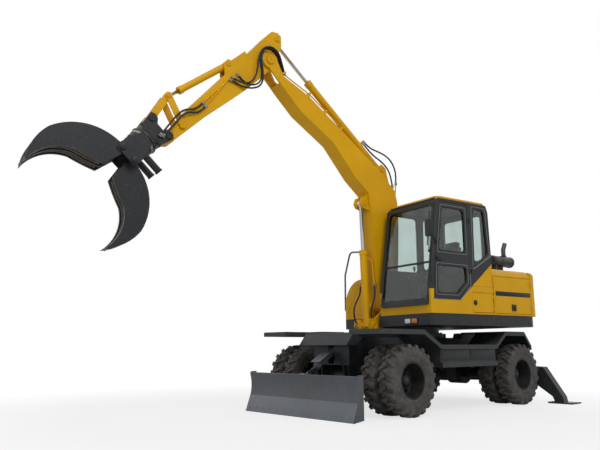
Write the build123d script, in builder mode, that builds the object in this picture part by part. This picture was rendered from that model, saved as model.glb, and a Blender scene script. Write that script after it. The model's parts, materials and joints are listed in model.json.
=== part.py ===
"""Wheeled log grapple loader: twin-tyred carrier, slewing upper works, boom, arm and log grapple.

Lengths are in millimetres and angles in degrees. X points forward, Y to the machine's left and
Z up, with the ground at Z = 0. The carrier and the upper works are each drawn about the slewing
axis, in their own straight frames. carrier_home and upper_home then set them in the machine.
"""

import os
from math import atan2, cos, degrees, hypot, radians, sin, tan

from build123d import *

os.makedirs("parts", exist_ok=True)

# Fits between pieces
pin_fit = 0.15
side_fit = 0.4
eye_fit = 0.6
glass_fit = 0.3
seat_fit = 0.2
panel_gap = 5.0

# Rest pose
slew_rest = -7.0
slew_x = -1646.0

# Axles and wheels
axle_front_x = 1240.0
axle_rear_x = -1215.0
tyre_radius = 430.0
tyre_half_width = 112.0
tyre_bore = 215.0
tread_depth = 30.0
lug_count = 12
lug_width = 46.0
rim_flange = 230.0
rim_wall = 12.0
twin_spacing = 280.0
twin_mid = 874.0
hub_radius = 85.0
hub_length = 125.0
spindle_radius = 45.0
brake_radius = 78.0
hand_hole = 26.0
kingpin_y = 600.0
kingpin_radius = 25.0
yoke_height = 190.0
yoke_plate = 30.0
axle_radius = 62.0
differential_radius = 165.0
shaft_radius = 38.0

# Chassis
chassis_half = 330.0
chassis_top = 950.0
chassis_bottom = 600.0
chassis_front = 1530.0
chassis_rear = -1700.0
nose_half = 450.0
ring_radius = 460.0
spigot_radius = 380.0
spigot_height = 30.0
ring_floor = 1010.0
deck_bottom = 1100.0

# Fenders and steps
fender_inner = 600.0
fender_outer = 1086.0
fender_top = 1034.0
fender_front = 1800.0
fender_lip = 60.0
sheet = 8.0
step_top = 850.0
step_bottom = 565.0
step_front = 628.0
step_rear = -618.0

# Dozer blade
blade_pivot = (1430.0, 400.0)
blade_ram_base = (1480.0, 780.0)
blade_ram_eye = (1985.0, 470.0)
blade_half = 1010.0
blade_plate = 20.0
blade_arm_y = 250.0
blade_arm_half = 35.0
blade_pin = 22.0
lug_plate = 24.0

# Stabilizers, in the plane across the machine
leg_plane = -1850.0
leg_half = 65.0
leg_pivot = (480.0, 360.0)
leg_ram_base = (420.0, 990.0)
leg_ram_eye = (840.0, 450.0)
leg_plate = 20.0
leg_pin = 28.0
tie_down = (-1962.0, 640.0)
tie_down_y = 200.0
tie_down_hole = 20.0
tie_down_plate = 40.0

# Upper works
deck_top = 1253.0
deck_half = 1067.0
cab_front = 572.0
body_front = 300.0
deck_rear = -1620.0
tail_rear = -1690.0
hood_top = 1919.0
hood_front = -670.0
hood_rear = -1502.0
hood_wall = 20.0

# Cab
cab_inner = 77.0
cab_outer = 1067.0
cab_wall = 45.0
roof_thick = 50.0
door_thick = 36.0
glass_thick = 6.0

# Working arm, in the boom's plane
boom_y = -150.0
boom_half = 130.0
fork_plate = 30.0
boom_foot = (300.0, 1430.0)
boom_ram_base = (628.0, 1123.0)
boom_ram_eye = (690.0, 2908.0)
arm_pin = (2335.0, 4700.0)
arm_half = 94.0
arm_ram_base = (336.0, 3473.0)
arm_ram_eye = (2200.0, 5060.0)
tip_pin = (3735.0, 3346.0)
tilt_ram_base = (2943.0, 4502.0)
rocker_pin = (3565.0, 3515.0)
rocker_top = (3758.0, 3864.0)
link_pin = (3957.0, 3526.0)

# Grapple, along and across its own axis from the middle of its two hanger pins
grapple_angle = -47.0
hanger_mid = ((tip_pin[0] + link_pin[0]) / 2, (tip_pin[1] + link_pin[1]) / 2)
drum_radius = 165.0
drum_start = 150.0
turn_face = 250.0
drum_end = 350.0
jaw_pivot_s = 580.0
jaw_pivot_t = 100.0
jaw_plate = 36.0
crank_s = 415.0
crank_t = 125.0

# Hoses: their routes in the upper works' frame, from where each leaves to where it ends
hose_radius = 12.0
fitting_radius = 18.0
fitting_length = 50.0
pipe_radius = 9.0
head_hoses = [
    [
        (2104, -100, 4587), (2159, -70, 4690), (2214, -32, 4794), (2318, -26, 4858),
        (2442, -14, 4830), (2508, -14, 4715), (2492, -14, 4596), (2466, -14, 4485),
        (2472, -14, 4372), (2540, -20, 4285), (2650, -32, 4262), (2745, -39, 4296),
        (2800, -39, 4350),
    ],
    [
        (2104, -66, 4587), (2159, -43, 4697), (2214, -5, 4800), (2322, 8, 4862),
        (2436, 20, 4832), (2496, 22, 4722), (2490, 22, 4600), (2470, 22, 4480),
        (2466, 20, 4360), (2510, 14, 4258), (2605, 4, 4210), (2712, -18, 4202),
        (2810, -36, 4226), (2905, -39, 4258),
    ],
    [
        (2104, -34, 4587), (2159, -9, 4700), (2222, 22, 4808), (2335, 38, 4862),
        (2455, 50, 4826), (2535, 54, 4730), (2562, 52, 4615), (2570, 48, 4495),
        (2583, 38, 4385), (2648, 16, 4275), (2765, -14, 4246), (2868, -39, 4300),
    ],
]
back_hoses = [
    [
        (604, -128, 3852), (516, -124, 3790), (410, -116, 3764), (296, -106, 3738),
        (190, -94, 3692), (112, -80, 3612), (74, -66, 3510), (68, -52, 3405), (82, -44, 3300),
    ],
    [
        (650, -82, 3796), (572, -74, 3716), (480, -64, 3648), (378, -52, 3596),
        (284, -46, 3532), (214, -43, 3446), (178, -43, 3345), (160, -43, 3250),
    ],
]
foot_hoses = [
    [
        (560, -44, 1690), (556, -40, 1590), (580, -36, 1490), (622, -36, 1398),
        (640, -42, 1305), (626, -50, 1225),
    ],
    [
        (660, -238, 1690), (662, -244, 1600), (706, -248, 1510), (762, -250, 1425),
        (786, -250, 1330), (776, -249, 1240), (742, -248, 1162),
    ],
]
tip_hoses = [
    [
        (3320, -39, 3847), (3372, -34, 3788), (3452, -26, 3738), (3552, -20, 3716),
        (3634, -18, 3642), (3706, -18, 3543), (3771, -18, 3446), (3836, -18, 3347),
    ],
    [
        (3282, -39, 3808), (3328, -34, 3750), (3406, -26, 3704), (3512, -20, 3688),
        (3598, -18, 3620), (3662, -18, 3524), (3727, -18, 3432), (3801, -18, 3342),
    ],
]

# Steel pipes behind the hose fittings: one list of points for each hose above
boom_back_pipes = [[(1672, y, 4351), (1110, y, 3965)] for y in (-104, -70, -40)]
arm_side_pipes = [[(3287, -46, 3884)], [(3251, -46, 3847)]]
boom_ram_pipes = [
    [(578, -64, 2060), (625, -115, 2110)],
    [(655, -198, 1800)],
]
arm_ram_pipes = [[(688, -142, 3831)], [(698, -114, 3816)]]
boom_foot_pipes = [[(112, -42, 3060)], [(140, -43, 3141)]]
pipe_clamps = [0.25, 0.5, 0.75]

carrier_home = Location((slew_x, 0, 0))
upper_home = Location((slew_x, 0, 0), (0, 0, slew_rest))


def finish(made, label, home):
    """Label a finished piece, set it in the machine and write its file."""
    piece = made.part.moved(home)
    piece.label = label
    export_step(piece, f"parts/{label}.step")


def side_plate(outline, middle, thick, mode=Mode.ADD, inset=0.0):
    """A plate in a lengthwise vertical plane, centred on y = middle, from an (x, z) outline."""
    with BuildSketch(Plane.XZ.offset(-middle)) as profile:
        with BuildLine():
            Polyline(*outline, close=True)
        make_face()
        if inset:
            offset(amount=-inset, kind=Kind.INTERSECTION, mode=Mode.REPLACE)
    extrude(profile.sketch, amount=thick / 2, both=True, mode=mode)


def cross_plate(outline, middle, thick, mode=Mode.ADD):
    """A plate in a crosswise vertical plane, centred on x = middle, from a (y, z) outline."""
    with BuildSketch(Plane.YZ.offset(middle)) as profile:
        with BuildLine():
            Polyline(*outline, close=True)
        make_face()
    extrude(profile.sketch, amount=thick / 2, both=True, mode=mode)


def level_plate(outline, bottom, top, mode=Mode.ADD, corner=0.0):
    """A level plate from an (x, y) outline, with rounded corners if asked."""
    with BuildSketch(Plane.XY.offset(bottom)) as profile:
        with BuildLine():
            Polyline(*outline, close=True)
        make_face()
        if corner:
            fillet(profile.vertices(), radius=corner)
    extrude(profile.sketch, amount=top - bottom, mode=mode)


def block(x_span, y_span, z_span, mode=Mode.ADD):
    """A box between three pairs of coordinates."""
    spans = (x_span, y_span, z_span)
    with Locations(tuple((low + high) / 2 for low, high in spans)):
        Box(*(abs(high - low) for low, high in spans), mode=mode)


def bar(start, end, radius, mode=Mode.ADD):
    """A round bar between two points."""
    run = Vector(*end) - Vector(*start)
    with BuildSketch(Plane(origin=start, z_dir=run)) as section:
        Circle(radius)
    extrude(section.sketch, amount=run.length, mode=mode)


def cross_pin(spot, radius, middle, half, mode=Mode.ADD):
    """A round bar along Y through an (x, z) spot."""
    bar((spot[0], middle - half, spot[1]), (spot[0], middle + half, spot[1]), radius, mode)


def long_pin(spot, radius, middle, half, mode=Mode.ADD):
    """A round bar along X through a (y, z) spot."""
    bar((middle - half, spot[0], spot[1]), (middle + half, spot[0], spot[1]), radius, mode)


def toward(start, end, distance):
    """The point that lies a distance from start on the way to end."""
    run = Vector(*end) - Vector(*start)
    return tuple(Vector(*start) + run.normalized() * distance)


def add_barrel(base, eye, across, ram):
    """A ram's tube with its foot boss, gland and bore, laid from its base toward its eye."""
    side = Vector(*across) * ram["foot_half"]
    low = tuple(Vector(*base) - side)
    high = tuple(Vector(*base) + side)
    mouth = toward(base, eye, ram["reach"])
    bar(base, mouth, ram["tube"])
    bar(toward(base, eye, ram["reach"] - ram["gland"]), mouth, ram["tube"] + 6)
    bar(low, high, ram["foot"])
    bar(low, high, ram["pin"] + pin_fit, Mode.SUBTRACT)
    bar(toward(base, eye, ram["foot"] + 6), mouth, ram["rod"] + pin_fit, Mode.SUBTRACT)


def add_rod(base, eye, across, ram):
    """A ram's rod with its eye, laid from the eye back into the tube."""
    side = Vector(*across) * ram["eye_half"]
    inner = toward(eye, base, ram["rod_length"])
    bar(inner, eye, ram["rod"])
    bar(tuple(Vector(*eye) - side), tuple(Vector(*eye) + side), ram["eye"])


def route_bends(route):
    """The largest even bend at each inner point of a hose's route."""
    spots = [Vector(*spot) for spot in route]
    runs = [after - before for before, after in zip(spots, spots[1:])]
    return [
        0.45 * min(run.length, after.length) / tan(radians(run.get_angle(after)) / 2)
        for run, after in zip(runs, runs[1:])
    ]


def add_hose(route, radius):
    """A hose along a route of points, with the largest bends that its runs allow."""
    bends = route_bends(route)
    print("hose bends", [round(bend) for bend in bends])
    with BuildLine() as path:
        FilletPolyline(*route, radius=bends)
    with BuildSketch(Plane(origin=path.line @ 0, z_dir=path.line % 0)) as section:
        Circle(radius)
    sweep(section.sketch, path=path.line)


def add_fitting(route, pipe=()):
    """A hose fitting straight on from a route's last point, and the steel pipe behind it."""
    inner, end = route[-2:]
    reach = (Vector(*end) - Vector(*inner)).length + fitting_length
    spots = [toward(inner, end, reach), *pipe]
    bar(end, spots[0], fitting_radius)
    for near, far in zip(spots, spots[1:]):
        bar(near, far, pipe_radius)


def in_boom_plane(spot):
    """An (x, z) spot as a point in the boom's plane."""
    return (spot[0], boom_y, spot[1])


def grapple_spot(along, across):
    """The (x, z) spot at a distance along and across the grapple's own axis."""
    turn = radians(grapple_angle)
    return (
        hanger_mid[0] + along * cos(turn) - across * sin(turn),
        hanger_mid[1] + along * sin(turn) + across * cos(turn),
    )


# Each ram: tube and rod radii, foot and eye bosses, reach of the tube and length of the rod
boom_ram = dict(
    tube=56.0, rod=32.0, pin=32.0, foot=66.0, foot_half=64.0, eye=50.0, eye_half=50.0,
    reach=1090.0, gland=70.0, rod_length=1080.0,
)
arm_ram = dict(
    tube=52.0, rod=29.0, pin=28.0, foot=58.0, foot_half=60.0, eye=50.0, eye_half=44.0,
    reach=1715.0, gland=70.0, rod_length=1180.0,
)
tilt_ram = dict(
    tube=44.0, rod=25.0, pin=25.0, foot=50.0, foot_half=52.0, eye=44.0, eye_half=38.0,
    reach=824.0, gland=60.0, rod_length=860.0,
)
blade_ram = dict(
    tube=44.0, rod=25.0, pin=22.0, foot=46.0, foot_half=51.0, eye=40.0, eye_half=36.0,
    reach=368.0, gland=45.0, rod_length=380.0,
)
leg_ram = dict(
    tube=38.0, rod=24.0, pin=22.0, foot=42.0, foot_half=46.0, eye=36.0, eye_half=32.0,
    reach=355.0, gland=45.0, rod_length=372.0,
)
jaw_ram = dict(
    tube=42.0, rod=24.0, pin=20.0, foot=44.0, foot_half=30.0, eye=36.0, eye_half=26.0,
    reach=200.0, gland=40.0, rod_length=300.0,
)

# Carrier chassis with the turntable seat, blade lugs and stabilizer frame
chassis_side = [
    (chassis_rear, chassis_bottom + 40),
    (chassis_rear, chassis_top - 60),
    (chassis_rear + 60, chassis_top),
    (chassis_front - 110, chassis_top),
    (chassis_front, chassis_top - 100),
    (chassis_front, chassis_bottom),
    (chassis_rear + 120, chassis_bottom),
]
nose_side = [
    (chassis_front - 130, chassis_top - 10),
    (chassis_front + 40, ring_floor),
    (chassis_front + 165, chassis_top - 100),
    (chassis_front - 10, chassis_top - 100),
]
blade_lug_side = [
    (blade_pivot[0] - 70, chassis_bottom + 20),
    (blade_pivot[0] - 60, blade_pivot[1] - 20),
    (blade_pivot[0] - 20, blade_pivot[1] - 60),
    (blade_pivot[0] + 35, blade_pivot[1] - 50),
    (blade_pivot[0] + 60, blade_pivot[1] + 10),
    (chassis_front, chassis_bottom + 20),
]
stabilizer_frame = [
    (leg_pivot[0] + 75, leg_pivot[1] - 70),
    (leg_pivot[0] + 80, leg_pivot[1] + 60),
    (leg_ram_base[0] + 70, leg_ram_base[1] - 40),
    (leg_ram_base[0] + 30, leg_ram_base[1] + 55),
    (-leg_ram_base[0] - 30, leg_ram_base[1] + 55),
    (-leg_ram_base[0] - 70, leg_ram_base[1] - 40),
    (-leg_pivot[0] - 80, leg_pivot[1] + 60),
    (-leg_pivot[0] - 75, leg_pivot[1] - 70),
]
with BuildPart() as chassis:
    side_plate(chassis_side, 0, 2 * chassis_half)
    side_plate(nose_side, 0, 2 * nose_half)
    with Locations((0, 0, (chassis_top + ring_floor) / 2)):
        Cylinder(ring_radius + 60, ring_floor - chassis_top)
    bar((0, 0, chassis_top), (0, 0, ring_floor + spigot_height), spigot_radius)
    for side in (-1, 1):
        for edge in (-1, 1):
            lug_y = side * blade_arm_y + edge * (blade_arm_half + side_fit + lug_plate / 2)
            side_plate(blade_lug_side, lug_y, lug_plate)
        cross_pin(
            blade_pivot, blade_pin, side * blade_arm_y, blade_arm_half + side_fit + lug_plate + 8
        )
    block(
        (blade_ram_base[0] - blade_ram["foot"] - panel_gap, chassis_front + 30),
        (-blade_ram["foot_half"] - side_fit, blade_ram["foot_half"] + side_fit),
        (chassis_bottom + 20, chassis_top - 100),
        Mode.SUBTRACT,
    )
    cross_pin(blade_ram_base, blade_ram["pin"], 0, blade_ram["foot_half"] + side_fit + 10)
    for face in (-1, 1):
        wall_x = leg_plane + face * (leg_half + side_fit + leg_plate / 2)
        cross_plate(stabilizer_frame, wall_x, leg_plate)
    block(
        (leg_plane - leg_half - leg_plate, chassis_rear + 1),
        (-chassis_half, chassis_half),
        (chassis_bottom - 180, chassis_top - 60),
    )
    for side in (-1, 1):
        for spot, radius in ((leg_pivot, leg_pin), (leg_ram_base, leg_ram["pin"])):
            long_pin((side * spot[0], spot[1]), radius, leg_plane, leg_half + leg_plate + 10)
        block(
            (tie_down[0], leg_plane - leg_half - leg_plate / 2),
            (side * tie_down_y - tie_down_plate / 2, side * tie_down_y + tie_down_plate / 2),
            (tie_down[1] - 2 * tie_down_hole, tie_down[1] + 2 * tie_down_hole),
        )
        cross_pin(tie_down, 2 * tie_down_hole, side * tie_down_y, tie_down_plate / 2)
        cross_pin(tie_down, tie_down_hole, side * tie_down_y, tie_down_plate, Mode.SUBTRACT)
finish(chassis, "chassis", carrier_home)

# Fenders with their step boxes
fender_path = [
    (fender_front, fender_top),
    (963.0, fender_top),
    (step_front, step_top),
    (step_rear, step_top),
    (-869.0, fender_top),
    (-1364.0, fender_top),
    (-1545.0, fender_top - 204),
]
fender_band = fender_path + [
    (-1545.0, fender_top - 204 - fender_lip),
    (-1364.0, fender_top - fender_lip),
    (-869.0, fender_top - fender_lip),
    (step_rear, step_top - fender_lip),
    (step_front, step_top - fender_lip),
    (963.0, fender_top - fender_lip),
    (fender_front, fender_top - fender_lip),
]
fender_hollow = [
    (fender_front - sheet, fender_top - sheet),
    (963.0 + 2, fender_top - sheet),
    (step_front + 2, step_top - sheet),
    (step_rear - 2, step_top - sheet),
    (-869.0 - 2, fender_top - sheet),
    (-1364.0 + 3, fender_top - sheet),
    (-1545.0 + sheet, fender_top - 204 - sheet),
    (-1545.0 + sheet, fender_top - 206 - fender_lip),
    (-1364.0, fender_top - fender_lip - 2),
    (-869.0, fender_top - fender_lip - 2),
    (step_rear, step_top - fender_lip - 2),
    (step_front, step_top - fender_lip - 2),
    (963.0, fender_top - fender_lip - 2),
    (fender_front - sheet, fender_top - fender_lip - 2),
]
for side, label in ((1, "fender_left"), (-1, "fender_right")):
    middle = side * (fender_inner + fender_outer) / 2
    width = fender_outer - fender_inner
    with BuildPart() as fender:
        side_plate(fender_band, middle, width)
        side_plate(fender_hollow, middle, width - 2 * sheet, Mode.SUBTRACT)
        for low, high in ((973.0, chassis_front - 150), (-1360.0, -880.0)):
            block(
                (low, high),
                (side * (chassis_half - 2 * sheet), side * (fender_inner + 1)),
                (fender_top - sheet, fender_top),
            )
            block(
                (low, high),
                (side * (chassis_half - 2 * sheet), side * chassis_half),
                (chassis_top, fender_top),
            )
        block(
            (step_rear, step_front),
            (side * 640, side * (fender_outer - 32)),
            (step_bottom + 8, step_top - sheet),
        )
        block(
            (step_rear, step_front),
            (side * 640, side * fender_outer),
            (step_bottom, step_bottom + 65),
        )
        for bracket_x in (-380.0, 380.0):
            block(
                (bracket_x - 40, bracket_x + 40),
                (side * chassis_half, side * 641),
                (step_bottom + 60, step_bottom + 160),
            )
    finish(fender, label, carrier_home)

# Axles
yoke_outer = kingpin_y + 45
with BuildPart() as axle_front:
    bar((axle_front_x, -540, tyre_radius), (axle_front_x, 540, tyre_radius), axle_radius)
    with BuildSketch(Plane.XZ.offset(-120)) as bell:
        with Locations((axle_front_x, tyre_radius)):
            Circle(differential_radius)
    extrude(bell.sketch, amount=240)
    for side in (-1, 1):
        block(
            (axle_front_x - 75, axle_front_x + 75),
            (side * 150, side * 235),
            (tyre_radius, chassis_bottom),
        )
        block(
            (axle_front_x - 60, axle_front_x + 60),
            (side * 500, side * (kingpin_y - 58)),
            (tyre_radius - yoke_height / 2 - yoke_plate, tyre_radius + yoke_height / 2 + yoke_plate),
        )
        for edge in (-1, 1):
            plate_mid = tyre_radius + edge * (yoke_height + yoke_plate) / 2
            block(
                (axle_front_x - 60, axle_front_x + 60),
                (side * 500, side * yoke_outer),
                (plate_mid - yoke_plate / 2, plate_mid + yoke_plate / 2),
            )
        bar(
            (axle_front_x, side * kingpin_y, tyre_radius - yoke_height / 2 - yoke_plate - 10),
            (axle_front_x, side * kingpin_y, tyre_radius + yoke_height / 2 + yoke_plate + 10),
            kingpin_radius,
        )
    bar((axle_front_x - 250, 0, tyre_radius), (axle_front_x - 100, 0, tyre_radius), 70)
    bar((axle_front_x - 170, -250, tyre_radius + 70), (axle_front_x - 170, 250, tyre_radius + 70), 34)
    for side in (-1, 1):
        block(
            (axle_front_x - 180, axle_front_x),
            (side * 150, side * 200),
            (tyre_radius + 30, tyre_radius + 110),
        )
finish(axle_front, "axle_front", carrier_home)

hub_face = twin_mid - hub_length
spindle_end = twin_mid + 55
with BuildPart() as axle_rear:
    bar((axle_rear_x, -hub_face + 160, tyre_radius), (axle_rear_x, hub_face - 160, tyre_radius), 70)
    with BuildSketch(Plane.XZ.offset(-130)) as bell:
        with Locations((axle_rear_x, tyre_radius)):
            Circle(differential_radius)
    extrude(bell.sketch, amount=260)
    for side in (-1, 1):
        bar(
            (axle_rear_x, side * (hub_face - 170), tyre_radius),
            (axle_rear_x, side * (hub_face - side_fit), tyre_radius),
            brake_radius,
        )
        bar(
            (axle_rear_x, side * (hub_face - 1), tyre_radius),
            (axle_rear_x, side * spindle_end, tyre_radius),
            spindle_radius - pin_fit,
        )
        block(
            (axle_rear_x - 85, axle_rear_x + 85),
            (side * 170, side * 260),
            (tyre_radius, chassis_bottom),
        )
    bar((axle_rear_x, 0, tyre_radius), (axle_rear_x + 330, 0, tyre_radius), 78)
    block((-940, -700), (-150, 150), (330, chassis_bottom))
    bar((-720, 0, tyre_radius), (axle_front_x - 250, 0, tyre_radius), shaft_radius)
finish(axle_rear, "axle_rear", carrier_home)

# Steering knuckles
for side, label in ((1, "knuckle_left"), (-1, "knuckle_right")):
    with BuildPart() as knuckle:
        bar(
            (axle_front_x, side * kingpin_y, tyre_radius - yoke_height / 2 + side_fit),
            (axle_front_x, side * kingpin_y, tyre_radius + yoke_height / 2 - side_fit),
            50,
        )
        bar(
            (axle_front_x, side * kingpin_y, tyre_radius),
            (axle_front_x, side * (hub_face - side_fit), tyre_radius),
            brake_radius,
        )
        bar(
            (axle_front_x, side * (hub_face - 1), tyre_radius),
            (axle_front_x, side * spindle_end, tyre_radius),
            spindle_radius - pin_fit,
        )
        block(
            (axle_front_x - 170, axle_front_x - 30),
            (side * (kingpin_y - 20), side * (kingpin_y + 20)),
            (tyre_radius - 60, tyre_radius - 30),
        )
        bar(
            (axle_front_x, side * kingpin_y, 0),
            (axle_front_x, side * kingpin_y, 2 * tyre_radius),
            kingpin_radius + pin_fit,
            Mode.SUBTRACT,
        )
    finish(knuckle, label, carrier_home)

# One tyre about the Y axis, as sectors of flat facets with a slanted lug to each side in turn
tread_radius = tyre_radius - tread_depth
half_section = [
    # radius, half width
    (tyre_bore + seat_fit, tyre_half_width - 32),
    (tyre_bore + 110, tyre_half_width),
    (tread_radius, tyre_half_width - 8),
]
sector_half = tan(radians(90.0 / lug_count))
lug_reach = tread_radius * sector_half - 8
sectors = []
for side in (1, -1):
    with BuildPart() as sector:
        with BuildSketch(Plane.XY) as section:
            with BuildLine():
                Polyline(*half_section, *[(r, -half) for r, half in reversed(half_section)], close=True)
            make_face()
        extrude(section.sketch, amount=tyre_radius, both=True)
        with BuildSketch(Plane.XZ) as wedge:
            with BuildLine():
                Polyline(
                    (0, 0),
                    (tyre_radius, -tyre_radius * sector_half),
                    (tyre_radius, tyre_radius * sector_half),
                    close=True,
                )
            make_face()
        extrude(wedge.sketch, amount=tyre_half_width + 1, both=True, mode=Mode.INTERSECT)
        with BuildSketch(Plane.YZ.offset(tread_radius - 8)) as lug_face:
            with BuildLine():
                Polyline(
                    (-side * 14, -lug_reach),
                    (side * (tyre_half_width - 9), lug_reach - lug_width),
                    (side * (tyre_half_width - 9), lug_reach),
                    (side * 40, lug_reach - 12),
                    (-side * 14, lug_width - lug_reach - 12),
                    close=True,
                )
            make_face()
        extrude(lug_face.sketch, amount=tread_depth + 8)
    sectors.append(sector.part)
with BuildPart() as tyre:
    for lug in range(lug_count):
        for phase, sector_part in enumerate(sectors):
            with Locations(Location((0, 0, 0), (0, 180.0 * (2 * lug + phase) / lug_count, 0))):
                add(sector_part)

# One twin-wheel rim about the Y axis, outer wheel toward +Y
rim_half = twin_spacing / 2
bead = tyre_half_width - 27.0
rim_section = [
    (tyre_bore - rim_wall, -rim_half - bead - 8),
    (rim_flange, -rim_half - bead - 8),
    (rim_flange, -rim_half - bead),
    (tyre_bore, -rim_half - bead),
    (tyre_bore, rim_half + bead),
    (rim_flange, rim_half + bead),
    (rim_flange, rim_half + bead + 8),
    (tyre_bore - rim_wall, rim_half + bead + 8),
    (tyre_bore - rim_wall, 44),
    (150, 52),
    (hub_radius + 14, 30),
    (hub_radius - 10, 34),
    (hub_radius - 16, 128),
    (30, 140),
    (0, 140),
    (0, 60),
    (spindle_radius, 60),
    (spindle_radius, -hub_length),
    (hub_radius, -hub_length),
    (hub_radius, 12),
    (tyre_bore - rim_wall, 30),
]
with BuildPart() as rim:
    with BuildSketch(Plane.XY):
        with BuildLine():
            Polyline(*rim_section, close=True)
        make_face()
    revolve(axis=Axis.Y)
    with Locations(Plane.XZ):
        with PolarLocations(152, 6):
            Cylinder(hand_hole, 160, mode=Mode.SUBTRACT)

wheels = [
    ("front_left", axle_front_x, 1),
    ("front_right", axle_front_x, -1),
    ("rear_left", axle_rear_x, 1),
    ("rear_right", axle_rear_x, -1),
]
for corner, wheel_x, side in wheels:
    facing = (0, 0, 0) if side > 0 else (0, 0, 180)
    with BuildPart() as rims:
        with Locations(Location((wheel_x, side * twin_mid, tyre_radius), facing)):
            add(rim.part)
    finish(rims, f"rim_{corner}", carrier_home)
    with BuildPart() as tyres:
        for offset_y in (-rim_half, rim_half):
            with Locations(Location((wheel_x, side * twin_mid + offset_y, tyre_radius), facing)):
                add(tyre.part)
    finish(tyres, f"tyres_{corner}", carrier_home)

# Dozer blade with its push arms
with BuildPart() as blade:
    with BuildSketch(Plane.XZ.offset(-blade_half)) as mouldboard:
        with BuildLine():
            ThreePointArc((2090, 501), (2062, 360), (2076, 215))
            Line((2076, 215), (2153, 0))
            Line((2153, 0), (2153 - 25, 0))
            Line((2153 - 25, 0), (2076 - blade_plate, 210))
            ThreePointArc(
                (2076 - blade_plate, 210), (2062 - blade_plate, 360), (2090 - blade_plate, 501)
            )
            Line((2090 - blade_plate, 501), (2090, 501))
        make_face()
    extrude(mouldboard.sketch, amount=2 * blade_half)
    for side in (-1, 1):
        side_plate(
            [(1987, 20), (2128, 4), (2056, 212), (2042, 360), (2072, 515), (1987, 515)],
            side * (blade_half - 8),
            16,
        )
        side_plate(
            [
                (blade_pivot[0], blade_pivot[1] + 62),
                (1990, 330),
                (2050, 330),
                (2062, 200),
                (1960, 180),
                (blade_pivot[0], blade_pivot[1] - 62),
            ],
            side * blade_arm_y,
            2 * blade_arm_half,
        )
        cross_pin(blade_pivot, 62, side * blade_arm_y, blade_arm_half)
        cross_pin(blade_pivot, blade_pin + pin_fit, side * blade_arm_y, 99, Mode.SUBTRACT)
        side_plate(
            [
                (blade_ram_eye[0] - 45, blade_ram_eye[1] + 30),
                (blade_ram_eye[0] + 30, blade_ram_eye[1] + 45),
                (2062, 500),
                (2050, 330),
                (1990, 330),
                (blade_ram_eye[0] - 45, blade_ram_eye[1] - 40),
            ],
            side * (blade_ram["eye_half"] + eye_fit + lug_plate / 2),
            lug_plate,
        )
        cross_pin(
            blade_ram_eye,
            blade_ram["pin"] + 6,
            side * (blade_ram["eye_half"] + eye_fit + lug_plate + 5),
            5,
        )
    block((1985, 2060), (-blade_half + 16, blade_half - 16), (215, 315))
    block((2035, 2075), (-blade_half + 16, blade_half - 16), (478, 501))
finish(blade, "blade", carrier_home)

across_y = (0, 1, 0)
blade_base = (blade_ram_base[0], 0, blade_ram_base[1])
blade_eye = (blade_ram_eye[0], 0, blade_ram_eye[1])
with BuildPart() as blade_tube:
    add_barrel(blade_base, blade_eye, across_y, blade_ram)
    guard_run = Plane(origin=blade_base, x_dir=Vector(*blade_eye) - Vector(*blade_base), z_dir=(0, -1, 0))
    with BuildSketch(guard_run.offset(-85)) as guard:
        with BuildLine():
            Polyline((110, 40), (125, 52), (355, 52), (355, 60), (120, 60), (100, 40), close=True)
        make_face()
    extrude(guard.sketch, amount=170)
finish(blade_tube, "blade_tube", carrier_home)
with BuildPart() as blade_rod:
    add_rod(blade_base, blade_eye, across_y, blade_ram)
finish(blade_rod, "blade_rod", carrier_home)

# Stabilizers
leg_outline = [
    (leg_pivot[0], leg_pivot[1] - 75),
    (905, 310),
    (1225, 98),
    (1262, 20),
    (1400, 20),
    (1385, 98),
    (1110, 518),
    (930, 526),
    (leg_pivot[0], leg_pivot[1] + 75),
]
foot_outline = [(1176, 22), (1196, 0), (1550, 0), (1570, 22), (1548, 22), (1540, 20), (1206, 20), (1198, 22)]
slot_outline = [(735, 345), (735, 620), (945, 620), (945, 400), (900, 345)]
for side, hand in ((1, "left"), (-1, "right")):
    base = (leg_plane, side * leg_ram_base[0], leg_ram_base[1])
    eye = (leg_plane, side * leg_ram_eye[0], leg_ram_eye[1])
    with BuildPart() as leg:
        cross_plate([(side * y, z) for y, z in leg_outline], leg_plane, 2 * leg_half)
        long_pin((side * leg_pivot[0], leg_pivot[1]), 75, leg_plane, leg_half)
        cross_plate([(side * y, z) for y, z in foot_outline], leg_plane, 260)
        cross_plate(
            [(side * y, z) for y, z in slot_outline],
            leg_plane,
            2 * (leg_ram["eye_half"] + eye_fit),
            Mode.SUBTRACT,
        )
        long_pin((side * leg_pivot[0], leg_pivot[1]), leg_pin + pin_fit, leg_plane, 99, Mode.SUBTRACT)
    finish(leg, f"leg_{hand}", carrier_home)
    with BuildPart() as leg_tube:
        add_barrel(base, eye, (1, 0, 0), leg_ram)
    finish(leg_tube, f"leg_tube_{hand}", carrier_home)
    with BuildPart() as leg_rod:
        add_rod(base, eye, (1, 0, 0), leg_ram)
    finish(leg_rod, f"leg_rod_{hand}", carrier_home)

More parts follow.
